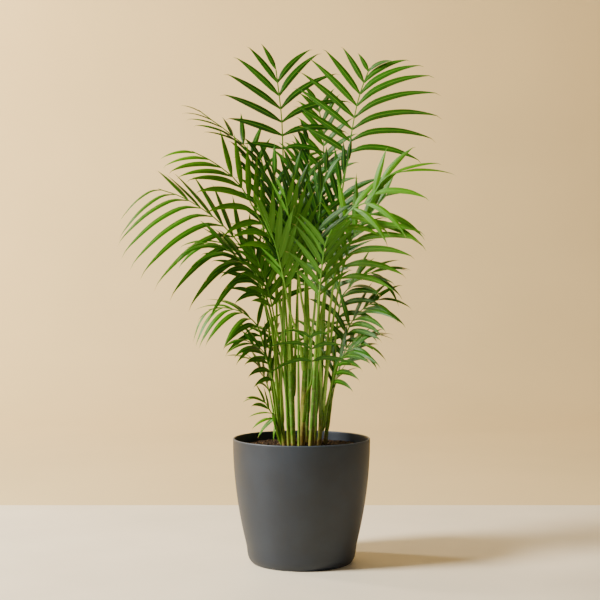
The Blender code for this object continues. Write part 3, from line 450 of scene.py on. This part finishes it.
# A round rod swept along the line it is given, as thick as the line says.
sweep = bpy.data.node_groups.new("rod along a line", "GeometryNodeTree")
sweep.is_modifier = True
sweep.interface.new_socket("Geometry", in_out="INPUT", socket_type="NodeSocketGeometry")
sides = sweep.interface.new_socket("Sides", in_out="INPUT", socket_type="NodeSocketInt")
sides.default_value = CANE_SIDES
sweep.interface.new_socket("Finish", in_out="INPUT", socket_type="NodeSocketMaterial")
sweep.interface.new_socket("Geometry", in_out="OUTPUT", socket_type="NodeSocketGeometry")
given = add(sweep, "NodeGroupInput").outputs
path = add(sweep, "GeometryNodeMeshToCurve", {"Mesh": given["Geometry"]})
outline = add(sweep, "GeometryNodeCurvePrimitiveCircle", {"Resolution": given["Sides"], "Radius": 1.0})
thick = add(sweep, "GeometryNodeInputNamedAttribute", {"Name": "half_width"}, data_type="FLOAT")
tube = add(sweep, "GeometryNodeCurveToMesh", {"Curve": path.outputs["Curve"],
                                              "Profile Curve": outline.outputs["Curve"],
                                              "Scale": thick.outputs["Attribute"], "Fill Caps": True})
real = add(sweep, "GeometryNodeRealizeInstances", {"Geometry": tube.outputs["Mesh"]})
dressed = add(sweep, "GeometryNodeSetMaterial",
              {"Geometry": real.outputs["Geometry"], "Material": given["Finish"]})
add(sweep, "NodeGroupOutput", {"Geometry": dressed.outputs["Geometry"]})


def line_mesh(name, strands, attributes):
    """Polylines as a mesh. strands: lists of points. attributes: name to one list of values per strand."""
    mesh = bpy.data.meshes.new(name)
    points, joints = [], []
    for strand in strands:
        joints += [(len(points) + i, len(points) + i + 1) for i in range(len(strand) - 1)]
        points += strand
    mesh.from_pydata(points, joints, [])
    for key, per_strand in attributes.items():
        values = [value for strand in per_strand for value in strand]
        is_vector = isinstance(values[0], Vector)
        layer = mesh.attributes.new(key, "FLOAT_VECTOR" if is_vector else "FLOAT", "POINT")
        flat = [part for value in values for part in value] if is_vector else values
        layer.data.foreach_set("vector" if is_vector else "value", flat)
    return mesh


def closed_up(mesh, sharp_from):
    """The swept mesh with its faces outwards, shaded smooth up to an edge of so many degrees."""
    bm = bmesh.new()
    bm.from_mesh(mesh)
    bmesh.ops.recalc_face_normals(bm, faces=bm.faces[:])
    bm.to_mesh(mesh)
    bm.free()
    mesh.shade_smooth()
    mesh.set_sharp_from_angle(angle=math.radians(sharp_from))
    return mesh


rods = sorted({**canes, **spears}.items())
for number, (name, (foot, end, foot_radius, end_radius)) in enumerate(rods):
    points, widths, scars, pales = [], [], [], []
    long = (end - foot).length
    first_scar = FIRST_SCAR + FIRST_SCAR_VARIES * math.sin(number * 2.3)
    wander = Vector((math.sin(number * 1.7), math.cos(number * 2.9), 0)) * CANE_WANDER
    is_spear = name in spears
    for i in range(CANE_STEPS + 1):
        t = i / CANE_STEPS
        distance = long * t
        from_scar = (distance - first_scar + SCAR_SPACING / 2) % SCAR_SPACING - SCAR_SPACING / 2
        ringed = 0.0 if is_spear else 1.0
        swelling = SCAR_SWELL * math.exp(-((from_scar / SCAR_SWELL_REACH) ** 2)) * ringed
        groove = SCAR_GROOVE * math.exp(-((from_scar / SCAR_WIDTH) ** 2)) * ringed
        folded_leaf, narrowing = 0.0, t
        if is_spear:
            folded_leaf = SPEAR_SWELL * math.sin(math.pi * min(1.0, t / SPEAR_THICKEST))
            narrowing = max(0.0, (t - SPEAR_THICKEST) / (1 - SPEAR_THICKEST))
        radius = foot_radius + (end_radius - foot_radius) * narrowing
        points.append(foot.lerp(end, t) + wander * math.sin(math.pi * t))
        widths.append(radius * (1 + folded_leaf + swelling - groove))
        stained = from_scar / (SCAR_WIDTH * SCAR_STAIN_REACH)
        scars.append(SCAR_STAIN * math.exp(-(stained**2)) * ringed)
        waxed = (from_scar + BLOOM_BELOW) / BLOOM_REACH
        pales.append(BLOOM * math.exp(-(waxed**2)) * ringed)
    attributes = {"half_width": [widths], "scar": [scars], "under_scar": [pales],
                  "age": [[CANE_AGE.get(name, 0.0)] * len(points)]}
    strand = line_mesh(name, [points], attributes)
    cane_mesh = closed_up(grown(name + "_skin", strand, sweep, {"Finish": cane_skin}), 50)
    new_piece(name + "_living", cane_mesh, name)


# ----------------------------------------------------------------------------------------------- fronds
# Each leaf grew as one piece. Its stalk starts as a sheath that clasps the cane and is grooved on top.
# The leaflets on both its sides are thin, glossy, folded along a raised midrib and drawn out to a hair.
# Old fronds are deep green and young ones yellow-green.

LEAFLET_STEPS = 15
STALK_STEPS = 60
LEAF_DEEP = "#0c3601"
LEAF_GREEN = "#216002"
LEAF_YOUNG = "#549004"
LEAF_UNDER = "#306414"
LEAF_RIB = "#6ea82a"
LEAF_TIP = "#a08a4a"
STALK_GREEN = "#488213"
STALK_PALE = "#7ca630"
SHEATH_LONG = 0.040
SHEATH_LEAN = 0.30  # how far the sheath leans towards its cane's middle
SHEATH_SWELL, SHEATH_TAPER = 0.75, 1.5  # how near it comes to the cane's width, and how fast that ends
SHEATH_UNDER = 0.012  # how far its foot reaches down the cane
SHEATH_FOOT_IN, SHEATH_FOOT_WIDE = 0.5, 0.9  # half way in, and nearly as wide as the cane
STALK_LEAST = 0.0010  # half the width of the thinnest stalk
HAIR_TIP = 0.28  # how far the hair runs past the blade, as a share of the blade's last third
HAIR_SAG = 0.45
FOLDED_FULLNESS = 1.08  # a folded blade has more skin than a flat one of the same width
COMMON_AGE = 0.12
AGE = {  # 0 is an old deep green frond, 1 a young bright one
    "frond_upper_left": 0.85, "frond_front_left": 0.80, "frond_front": 0.70, "frond_upper_right": 0.75,
    "frond_front_right": 0.55, "frond_right": 0.50, "frond_top_right": 0.15, "frond_top_left": 0.05,
    "frond_inner_left": 0.45, "frond_left": 0.25, "frond_middle": 0.20, "frond_low_left": 0.30,
    "frond_bottom_left": 0.55, "frond_seedling": 0.65, "frond_front_low": 0.10, "frond_core": 0.05,
    "frond_core_left": 0.05, "frond_core_right": 0.05, "frond_core_back": 0.0, "frond_core_back_left": 0.0,
    "frond_core_back_right": 0.0,
}


def next_ring(ring, allowed):
    """The verts joined to this ring, out of those allowed."""
    return {e.other_vert(v) for v in ring for e in v.link_edges} & allowed - ring


def centre(ring):
    return sum((v.co for v in ring), Vector()) / len(ring)


def read_blade(tip, verts):
    """The rings of the leaflet that ends at this vert, foot first, or None where no leaflet ends."""
    last = {e.other_vert(tip) for e in tip.link_edges}
    if len(last) != 4 or sum(e.other_vert(v) in last for v in last for e in v.link_edges) != 8:
        return None
    middle = next_ring(last, verts - {tip})
    foot = next_ring(middle, verts - last)
    return (foot, middle, last) if len(middle) == 4 and len(foot) == 4 else None


def read_stalk(verts):
    """The stalk's rings of three, from its foot to its tip, and the vert at its tip."""
    ends = [v for v in verts if sum(e.other_vert(v) in verts for e in v.link_edges) == 3]
    tip = min(ends, key=lambda v: max(e.calc_length() for e in v.link_edges))
    rings, left = [{tip}], verts - {tip}
    while left:
        found = next_ring(rings[-1], left)
        left = left - found
        rings.append(set(sorted(found, key=lambda v: -len(v.link_edges))[:3]))
    return rings[:0:-1], tip


def across_blade(ring):
    """The way a ring's thin edges point: (up or down through the blade, half the blade's width)."""
    first = next(iter(ring))
    others = sorted(ring - {first}, key=lambda v: (v.co - first.co).length)
    return (others[0].co - first.co).normalized(), (others[1].co - first.co).length / 2


def read_frond(node):
    """The frond's skeleton, from its CAD mesh.

    Returns the stalk as a list of (middle, up, half width) from its foot to its tip, and the leaflets,
    each as (points, ways its upper face points, half width) from foot to tip.
    """
    bm = merged(node)
    verts = set(bm.verts)
    blades = {v: read_blade(v, verts) for v in bm.verts}
    blades = {tip: rings for tip, rings in blades.items() if rings}
    blade_verts = {v for tip, (_, middle, last) in blades.items() for v in (tip, *middle, *last)}
    rings, tip = read_stalk(verts - blade_verts)
    keels = {}
    for i, ring in enumerate(rings):
        feet = [foot & ring for foot, _, _ in blades.values() if foot & ring]
        shared = set.intersection(*feet) if len(feet) > 1 else set()
        if len(shared) == 1:
            keels[i] = centre(shared) - centre(ring)
    stalk = []
    for i, ring in enumerate(rings):
        known = keels[min(keels, key=lambda k: abs(k - i))]
        keel = max(ring, key=lambda v: (v.co - centre(ring)).dot(known))
        left, right = ring - {keel}
        crest = (left.co + right.co) / 2
        stalk.append((centre(ring), (crest - keel.co).normalized(), (left.co - right.co).length / 2))
    stalk.append((tip.co.copy(), stalk[-1][1], stalk[-1][2] * 0.6))
    leaflets = []
    for blade_tip, (foot, middle, last) in blades.items():
        up = min(stalk, key=lambda s: (s[0] - centre(foot)).length)[1]
        (low_face, half), (high_face, _) = across_blade(middle), across_blade(last)
        low_face = low_face if low_face.dot(up) > 0 else -low_face
        high_face = high_face if high_face.dot(low_face) > 0 else -high_face
        points = [centre(foot), centre(middle), centre(last), blade_tip.co.copy()]
        reach = (points[3] - points[2]) * HAIR_TIP
        points.append(points[3] + reach + Vector((0, 0, -reach.length * HAIR_SAG)))
        leaflets.append((points, [low_face, low_face, high_face, high_face, high_face], half))
    leaflets.sort(key=lambda blade: (blade[0][0] - stalk[0][0]).length)
    bm.free()
    return stalk, leaflets


# Leaf blade: a waxed, gently glossy skin over parallel veins, paler and duller underneath.
leaf, tree, shader = new_material("palm leaflet, waxed blade", 0.38, IOR=1.42, Specular_IOR_Level=0.38,
                                  Subsurface_Weight=0.12, Coat_Weight=0.05, Coat_Roughness=0.22)
shader.inputs["Subsurface Radius"].default_value = (0.5, 1.0, 0.15)
shader.inputs["Subsurface Scale"].default_value = 0.001
across = add(tree, "ShaderNodeAttribute", attribute_name="across")
above = add(tree, "ShaderNodeAttribute", attribute_name="above")
along = add(tree, "ShaderNodeAttribute", attribute_name="along")
age = add(tree, "ShaderNodeAttribute", attribute_name="age")
tone = add(tree, "ShaderNodeAttribute", attribute_name="tone")
where = add(tree, "ShaderNodeTexCoord")
mottle = add(tree, "ShaderNodeTexNoise", {"Vector": where.outputs["Object"], "Scale": 1 / 0.014,
                                          "Detail": 4.0})
unlike = add(tree, "ShaderNodeMath", {0: tone.outputs["Fac"], 1: 0.55}, operation="MULTIPLY")
mixed_tone = add(tree, "ShaderNodeMath", {0: mottle.outputs["Fac"], 1: 0.7, 2: unlike.outputs["Value"]},
                 operation="MULTIPLY_ADD")
depth = ramp(tree, mixed_tone.outputs["Value"], 0.25, 1.0)
mature = blend(tree, depth.outputs["Result"], linear(LEAF_DEEP), linear(LEAF_GREEN))
blade = blend(tree, age.outputs["Fac"], mature.outputs["Result"], linear(LEAF_YOUNG))
vein_place = add(tree, "ShaderNodeMath", {0: across.outputs["Fac"], 1: 30.0}, operation="MULTIPLY")
veins = add(tree, "ShaderNodeMath", {0: vein_place.outputs["Value"]}, operation="SINE")
vein_tone = ramp(tree, veins.outputs["Value"], -1.0, 1.0, low=0.86, high=1.10)
veined = add(tree, "ShaderNodeVectorMath", {0: blade.outputs["Result"],
                                            "Scale": vein_tone.outputs["Result"]}, operation="SCALE")
from_rib = add(tree, "ShaderNodeMath", {0: across.outputs["Fac"]}, operation="ABSOLUTE")
rib = ramp(tree, from_rib.outputs["Value"], 0.03, 0.14, low=0.55, high=0.0)
ribbed = blend(tree, rib.outputs["Result"], veined.outputs["Vector"], linear(LEAF_RIB))
under = ramp(tree, above.outputs["Fac"], 0.02, -0.02, low=0.0, high=0.45)
two_sided = blend(tree, under.outputs["Result"], ribbed.outputs["Result"], linear(LEAF_UNDER))
dry_from = ramp(tree, tone.outputs["Fac"], low=0.90, high=0.99)
dryness = add(tree, "ShaderNodeMath", {0: along.outputs["Fac"], 1: dry_from.outputs["Result"]},
              operation="SUBTRACT")
dry_tip = ramp(tree, dryness.outputs["Value"], 0.0, 0.04)
tipped = blend(tree, dry_tip.outputs["Result"], two_sided.outputs["Result"], linear(LEAF_TIP))
dull = ramp(tree, above.outputs["Fac"], 0.02, -0.02, low=0.36, high=0.60)
relief = add(tree, "ShaderNodeBump", {"Height": veins.outputs["Value"], "Strength": 0.35,
                                      "Distance": 0.0002})
tree.links.new(tipped.outputs["Result"], shader.inputs["Base Color"])
tree.links.new(dull.outputs["Result"], shader.inputs["Roughness"])
tree.links.new(relief.outputs["Normal"], shader.inputs["Normal"])

# Stalk skin: smooth and waxy, pale at the sheath and greener outwards, faintly streaked.
stalk_skin, tree, shader = new_material("palm stalk, waxy skin", 0.40, IOR=1.45, Subsurface_Weight=0.08)
shader.inputs["Subsurface Radius"].default_value = (0.6, 0.9, 0.25)
shader.inputs["Subsurface Scale"].default_value = 0.002
where = add(tree, "ShaderNodeTexCoord")
along = add(tree, "ShaderNodeAttribute", attribute_name="along")
age = add(tree, "ShaderNodeAttribute", attribute_name="age")
along_stalk = add(tree, "ShaderNodeMapping", {"Vector": where.outputs["Object"], "Scale": (1, 1, 0.08)})
streaks = add(tree, "ShaderNodeTexNoise", {"Vector": along_stalk.outputs["Vector"], "Scale": 1 / 0.0012,
                                           "Detail": 3.0})
paling = ramp(tree, along.outputs["Fac"], 0.02, 0.75)
skin = blend(tree, paling.outputs["Result"], linear(STALK_PALE), linear(STALK_GREEN))
brighter = ramp(tree, age.outputs["Fac"], low=0.80, high=1.15)
fine = ramp(tree, streaks.outputs["Fac"], 0.3, 0.75, low=0.80, high=1.12)
strength = add(tree, "ShaderNodeMath", {0: brighter.outputs["Result"], 1: fine.outputs["Result"]},
               operation="MULTIPLY")
streaked = add(tree, "ShaderNodeVectorMath", {0: skin.outputs["Result"],
                                              "Scale": strength.outputs["Value"]}, operation="SCALE")
relief = add(tree, "ShaderNodeBump", {"Height": streaks.outputs["Fac"], "Strength": 0.3,
                                      "Distance": 0.0002})
tree.links.new(streaked.outputs["Vector"], shader.inputs["Base Color"])
tree.links.new(relief.outputs["Normal"], shader.inputs["Normal"])

# The tree that grows a frond on its skeleton: the stalk swept along its line, and a folded blade along
# each midrib.
growth = bpy.data.node_groups.new("palm frond", "GeometryNodeTree")
growth.is_modifier = True
growth.interface.new_socket("Geometry", in_out="INPUT", socket_type="NodeSocketGeometry")
for name, kind_of, value in (("Fold", "NodeSocketFloat", 0.20),
                             ("Blade thickness", "NodeSocketFloat", 0.055),
                             ("Tip sag", "NodeSocketFloat", 0.003), ("Twist", "NodeSocketFloat", 0.35),
                             ("Blade steps", "NodeSocketInt", LEAFLET_STEPS),
                             ("Stalk steps", "NodeSocketInt", STALK_STEPS),
                             ("Seed", "NodeSocketInt", 4), ("Blade finish", "NodeSocketMaterial", None),
                             ("Stalk finish", "NodeSocketMaterial", None)):
    socket = growth.interface.new_socket(name, in_out="INPUT", socket_type=kind_of)
    if value is not None:
        socket.default_value = value
growth.interface.new_socket("Geometry", in_out="OUTPUT", socket_type="NodeSocketGeometry")
given = add(growth, "NodeGroupInput").outputs
lines = add(growth, "GeometryNodeMeshToCurve", {"Mesh": given["Geometry"]})
smooth = add(growth, "GeometryNodeCurveSplineType", {"Curve": lines.outputs["Curve"]},
             spline_type="CATMULL_ROM")
is_stalk = add(growth, "GeometryNodeInputNamedAttribute", {"Name": "stalk"}, data_type="FLOAT")
parts = add(growth, "GeometryNodeSeparateGeometry",
            {"Geometry": smooth.outputs["Curve"], "Selection": is_stalk.outputs["Attribute"]},
            domain="CURVE")
face = add(growth, "GeometryNodeInputNamedAttribute", {"Name": "face"}, data_type="FLOAT_VECTOR")
half_width = add(growth, "GeometryNodeInputNamedAttribute", {"Name": "half_width"}, data_type="FLOAT")
share = add(growth, "GeometryNodeSplineParameter")

# The blade's outline along its length, and its folded section across.
ribs = add(growth, "GeometryNodeResampleCurve",
           {"Curve": parts.outputs["Inverted"], "Count": given["Blade steps"]})
marked = add(growth, "GeometryNodeStoreNamedAttribute",
             {"Geometry": ribs.outputs["Curve"], "Name": "along", "Value": share.outputs["Factor"]},
             data_type="FLOAT")
cubed = add(growth, "ShaderNodeMath", {0: share.outputs["Factor"], 1: 3.0}, operation="POWER")
sag = add(growth, "ShaderNodeMath", {0: cubed.outputs["Value"], 1: given["Tip sag"]},
          operation="MULTIPLY")
down = add(growth, "ShaderNodeMath", {0: sag.outputs["Value"], 1: -1.0}, operation="MULTIPLY")
hang = add(growth, "ShaderNodeCombineXYZ", {"Z": down.outputs["Value"]})
hung = add(growth, "GeometryNodeSetPosition", {"Geometry": marked.outputs["Geometry"],
                                               "Offset": hang.outputs["Vector"]})
faced = add(growth, "GeometryNodeSetCurveNormal",
            {"Curve": hung.outputs["Geometry"], "Normal": face.outputs["Attribute"]}, mode="FREE")
which = add(growth, "GeometryNodeInputIndex")
which_curve = add(growth, "GeometryNodeCurveOfPoint", {"Point Index": which.outputs["Index"]})
turn_to = add(growth, "FunctionNodeRandomValue",
              {"Min": -1.0, "Max": 1.0, "ID": which_curve.outputs["Curve Index"],
               "Seed": given["Seed"]}, data_type="FLOAT")
twist_most = add(growth, "ShaderNodeMath", {0: turn_to.outputs[1], 1: given["Twist"]},
                 operation="MULTIPLY")
twist = add(growth, "ShaderNodeMath", {0: twist_most.outputs["Value"], 1: share.outputs["Factor"]},
            operation="MULTIPLY")
tilted = add(growth, "GeometryNodeSetCurveTilt",
             {"Curve": faced.outputs["Curve"], "Tilt": twist.outputs["Value"]})
tone_value = add(growth, "FunctionNodeRandomValue",
                 {"ID": which_curve.outputs["Curve Index"], "Seed": 31}, data_type="FLOAT")
toned = add(growth, "GeometryNodeStoreNamedAttribute",
            {"Geometry": tilted.outputs["Curve"], "Name": "tone", "Value": tone_value.outputs[1]},
            data_type="FLOAT")
outline = add(growth, "ShaderNodeFloatCurve", {"Value": share.outputs["Factor"]})
shape = outline.mapping.curves[0]
shape.points[0].location = (0.0, 0.30)
shape.points[1].location = (1.0, 0.018)
for at, wide in ((0.05, 0.42), (0.18, 0.84), (0.34, 1.0), (0.55, 0.88), (0.74, 0.56), (0.87, 0.25),
                 (0.94, 0.09)):
    shape.points.new(at, wide)
outline.mapping.update()
wide = add(growth, "ShaderNodeMath", {0: outline.outputs["Value"], 1: half_width.outputs["Attribute"]},
           operation="MULTIPLY")
loop = add(growth, "GeometryNodeMeshCircle", {"Vertices": 12, "Radius": 1.0})
on_loop = add(growth, "GeometryNodeInputPosition")
loop_at = add(growth, "ShaderNodeSeparateXYZ", {"Vector": on_loop.outputs["Position"]})
keep_across = add(growth, "GeometryNodeStoreNamedAttribute",
                  {"Geometry": loop.outputs["Mesh"], "Name": "across", "Value": loop_at.outputs["X"]},
                  data_type="FLOAT")
keep_above = add(growth, "GeometryNodeStoreNamedAttribute",
                 {"Geometry": keep_across.outputs["Geometry"], "Name": "above",
                  "Value": loop_at.outputs["Y"]}, data_type="FLOAT")
out_by = add(growth, "ShaderNodeMath", {0: loop_at.outputs["X"]}, operation="ABSOLUTE")
drop = add(growth, "ShaderNodeMath", {0: out_by.outputs["Value"], 1: given["Fold"]},
           operation="MULTIPLY")
flat = add(growth, "ShaderNodeMath", {0: loop_at.outputs["Y"], 1: given["Blade thickness"]},
           operation="MULTIPLY")
folded = add(growth, "ShaderNodeMath", {0: flat.outputs["Value"], 1: drop.outputs["Value"]},
             operation="SUBTRACT")
section_at = add(growth, "ShaderNodeCombineXYZ",
                 {"X": folded.outputs["Value"], "Y": loop_at.outputs["X"]})
section_shape = add(growth, "GeometryNodeSetPosition",
                    {"Geometry": keep_above.outputs["Geometry"],
                     "Position": section_at.outputs["Vector"]})
section_curve = add(growth, "GeometryNodeMeshToCurve", {"Mesh": section_shape.outputs["Geometry"]})
blades = add(growth, "GeometryNodeCurveToMesh",
             {"Curve": toned.outputs["Geometry"], "Profile Curve": section_curve.outputs["Curve"],
              "Scale": wide.outputs["Value"], "Fill Caps": True})
green_blades = add(growth, "GeometryNodeSetMaterial",
                   {"Geometry": blades.outputs["Mesh"], "Material": given["Blade finish"]})

# The stalk, rounded below and grooved above.
stem = add(growth, "GeometryNodeResampleCurve",
           {"Curve": parts.outputs["Selection"], "Count": given["Stalk steps"]})
stem_marked = add(growth, "GeometryNodeStoreNamedAttribute",
                  {"Geometry": stem.outputs["Curve"], "Name": "along",
                   "Value": share.outputs["Factor"]}, data_type="FLOAT")
stem_faced = add(growth, "GeometryNodeSetCurveNormal",
                 {"Curve": stem_marked.outputs["Geometry"], "Normal": face.outputs["Attribute"]},
                 mode="FREE")
round_loop = add(growth, "GeometryNodeMeshCircle", {"Vertices": 14, "Radius": 1.0})
ring_place = add(growth, "GeometryNodeInputPosition")
ring_at = add(growth, "ShaderNodeSeparateXYZ", {"Vector": ring_place.outputs["Position"]})
above_middle = add(growth, "ShaderNodeMath", {0: ring_at.outputs["X"], 1: 0.45}, operation="SUBTRACT")
over = add(growth, "ShaderNodeMath", {0: above_middle.outputs["Value"], 1: 0.0}, operation="MAXIMUM")
groove = add(growth, "ShaderNodeMath", {0: over.outputs["Value"], 1: -1.5}, operation="MULTIPLY")
dent = add(growth, "ShaderNodeCombineXYZ", {"X": groove.outputs["Value"]})
channel = add(growth, "GeometryNodeSetPosition",
              {"Geometry": round_loop.outputs["Mesh"], "Offset": dent.outputs["Vector"]})
channel_curve = add(growth, "GeometryNodeMeshToCurve", {"Mesh": channel.outputs["Geometry"]})
stems = add(growth, "GeometryNodeCurveToMesh",
            {"Curve": stem_faced.outputs["Curve"], "Profile Curve": channel_curve.outputs["Curve"],
             "Scale": half_width.outputs["Attribute"], "Fill Caps": True})
green_stems = add(growth, "GeometryNodeSetMaterial",
                  {"Geometry": stems.outputs["Mesh"], "Material": given["Stalk finish"]})
joined = add(growth, "GeometryNodeJoinGeometry")
growth.links.new(green_blades.outputs["Geometry"], joined.inputs["Geometry"])
growth.links.new(green_stems.outputs["Geometry"], joined.inputs["Geometry"])
real = add(growth, "GeometryNodeRealizeInstances", {"Geometry": joined.outputs["Geometry"]})
add(growth, "NodeGroupOutput", {"Geometry": real.outputs["Geometry"]})


def clasping(stalk):
    """The stalk with its sheath, which starts wide against its cane and thins upwards."""
    foot = stalk[0][0]
    nearest = None
    for cane_foot, cane_end, _, end_radius in canes.values():
        along = (cane_end - cane_foot).normalized()
        reach = min((foot - cane_foot).dot(along), (cane_end - cane_foot).length)
        axis_point = cane_foot + along * reach
        if nearest is None or (foot - axis_point).length < nearest[0]:
            nearest = ((foot - axis_point).length, axis_point, along, end_radius)
    _, axis_point, up, cane_radius = nearest
    sheath = []
    run = 0.0
    for i, (middle, face, half) in enumerate(stalk):
        run += (middle - stalk[i - 1][0]).length if i else 0.0
        clasp = max(0.0, 1 - run / SHEATH_LONG)
        sheath.append((middle.lerp(axis_point + up * run, SHEATH_LEAN * clasp), face,
                       half + (cane_radius - half) * SHEATH_SWELL * clasp**SHEATH_TAPER))
    first = sheath[0]
    below = (first[0].lerp(axis_point, SHEATH_FOOT_IN) - up * SHEATH_UNDER, first[1],
             cane_radius * SHEATH_FOOT_WIDE)
    return [below, *sheath]


for number, name in enumerate(sorted(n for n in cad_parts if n.startswith("frond_"))):
    stalk, leaflets = read_frond(name)
    stalk = clasping(stalk)
    strands = [[middle for middle, _, _ in stalk]]
    faces = [[up for _, up, _ in stalk]]
    widths = [[max(half, STALK_LEAST) for _, _, half in stalk[:-1]] + [stalk[-1][2]]]
    kinds = [[1.0] * len(stalk)]
    for points, normals, half in leaflets:
        strands.append(points)
        faces.append(normals)
        widths.append([half * FOLDED_FULLNESS] * len(points))
        kinds.append([0.0] * len(points))
    ages = [[AGE.get(name, COMMON_AGE)] * len(strand) for strand in strands]
    skeleton = line_mesh(name, strands, {"face": faces, "half_width": widths, "stalk": kinds,
                                         "age": ages})
    values = {"Seed": number, "Blade finish": leaf, "Stalk finish": stalk_skin}
    frond_mesh = closed_up(grown(name + "_green", skeleton, growth, values), 60)
    new_piece(name + "_living", frond_mesh, name)


# ----------------------------------------------------------------------------------------------- studio
# A pale floor of honed stone ends half a metre behind the pot, where plain plaster takes over and
# sweeps up to a wall. A large soft key light stands on the left, a weaker fill on the right, and a
# third lamp washes the wall.

FLOOR_PALE = "#faeed4"
WALL_PALE = "#e8ce96"
FLOOR_BEHIND = 0.51  # where the stone meets the plaster
PLASTER_FLAT, PLASTER_AWAY = 2.0, 3.6  # the plaster starts to rise, and stands upright
STAGE_WIDE, STAGE_FRONT, STAGE_HIGH = 16.0, -8.0, 6.0
RISE_STEPS = 24


def stage_strip(name, profile, material):
    """A stage piece as wide as the room, along a line of (distance back, height)."""
    strip = bmesh.new()
    sides = [[strip.verts.new((x, y, z)) for y, z in profile]
             for x in (-STAGE_WIDE / 2, STAGE_WIDE / 2)]
    for i in range(len(profile) - 1):
        strip.faces.new((sides[0][i], sides[1][i], sides[1][i + 1], sides[0][i + 1]))
    mesh = bpy.data.meshes.new(name)
    strip.to_mesh(mesh)
    strip.free()
    mesh.shade_smooth()
    mesh.materials.append(material)
    made = bpy.data.objects.new(name, mesh)
    bpy.context.scene.collection.objects.link(made)


pale_floor, tree, shader = new_material("pale stone floor, honed", 0.55, IOR=1.5)
where = add(tree, "ShaderNodeTexCoord")
veining = add(tree, "ShaderNodeTexNoise", {"Vector": where.outputs["Object"], "Scale": 4.0,
                                           "Detail": 8.0})
soft = ramp(tree, veining.outputs["Fac"], 0.3, 0.7, low=0.92, high=1.04)
stone = add(tree, "ShaderNodeVectorMath", {0: linear(FLOOR_PALE)[:3], "Scale": soft.outputs["Result"]},
            operation="SCALE")
tree.links.new(stone.outputs["Vector"], shader.inputs["Base Color"])
stage_strip("studio_floor", [(STAGE_FRONT, 0), (FLOOR_BEHIND, 0)], pale_floor)

pale_wall, tree, shader = new_material("lime plaster wall, matt", 0.9)
where = add(tree, "ShaderNodeTexCoord")
trowelled = add(tree, "ShaderNodeTexNoise", {"Vector": where.outputs["Object"], "Scale": 1.3,
                                             "Detail": 7.0})
soft = ramp(tree, trowelled.outputs["Fac"], 0.3, 0.7, low=0.95, high=1.04)
plaster = add(tree, "ShaderNodeVectorMath", {0: linear(WALL_PALE)[:3], "Scale": soft.outputs["Result"]},
              operation="SCALE")
tree.links.new(plaster.outputs["Vector"], shader.inputs["Base Color"])
rise = PLASTER_AWAY - PLASTER_FLAT
turns = [math.pi / 2 * i / RISE_STEPS for i in range(RISE_STEPS + 1)]
sweep_line = [(PLASTER_FLAT + rise * math.sin(a), rise * (1 - math.cos(a))) for a in turns]
stage_strip("studio_wall", [(FLOOR_BEHIND, 0), *sweep_line, (PLASTER_AWAY, STAGE_HIGH)], pale_wall)

for name, place, target, size, power, colour in (
    ("key light", (-2.5, -0.9, 1.9), (0, 0, 0.4), 0.9, 240, "#fffaf2"),
    ("fill light", (2.4, -1.6, 1.1), (0, 0, 0.35), 1.6, 1.5, "#f4f0ff"),
    ("wall wash", (-3.1, 1.3, 2.9), (-2.0, PLASTER_AWAY, 1.8), 1.2, 270, "#fff0d8"),
):
    lamp = bpy.data.lights.new(name, "AREA")
    lamp.shape = "DISK"
    lamp.size = size
    lamp.energy = power
    lamp.color = linear(colour)[:3]
    stand = bpy.data.objects.new(name, lamp)
    stand.location = place
    stand.rotation_euler = (Vector(target) - Vector(place)).to_track_quat("-Z", "Y").to_euler()
    bpy.context.scene.collection.objects.link(stand)

room_light = bpy.data.worlds.new("studio room")
room_light.use_nodes = True
room_light.node_tree.nodes["Background"].inputs["Color"].default_value = linear("#f3e6cf")
room_light.node_tree.nodes["Background"].inputs["Strength"].default_value = 0.18
bpy.context.scene.world = room_light

# A level camera a little under two metres away, at half the plant's height.
lens = bpy.data.cameras.new("camera")
lens.lens = 70.8
lens.sensor_width = 36
camera = bpy.data.objects.new("camera", lens)
camera.location = (-0.0024, -1.894, 0.418)
camera.rotation_euler = (math.pi / 2, 0, 0)
bpy.context.scene.collection.objects.link(camera)
bpy.context.scene.camera = camera
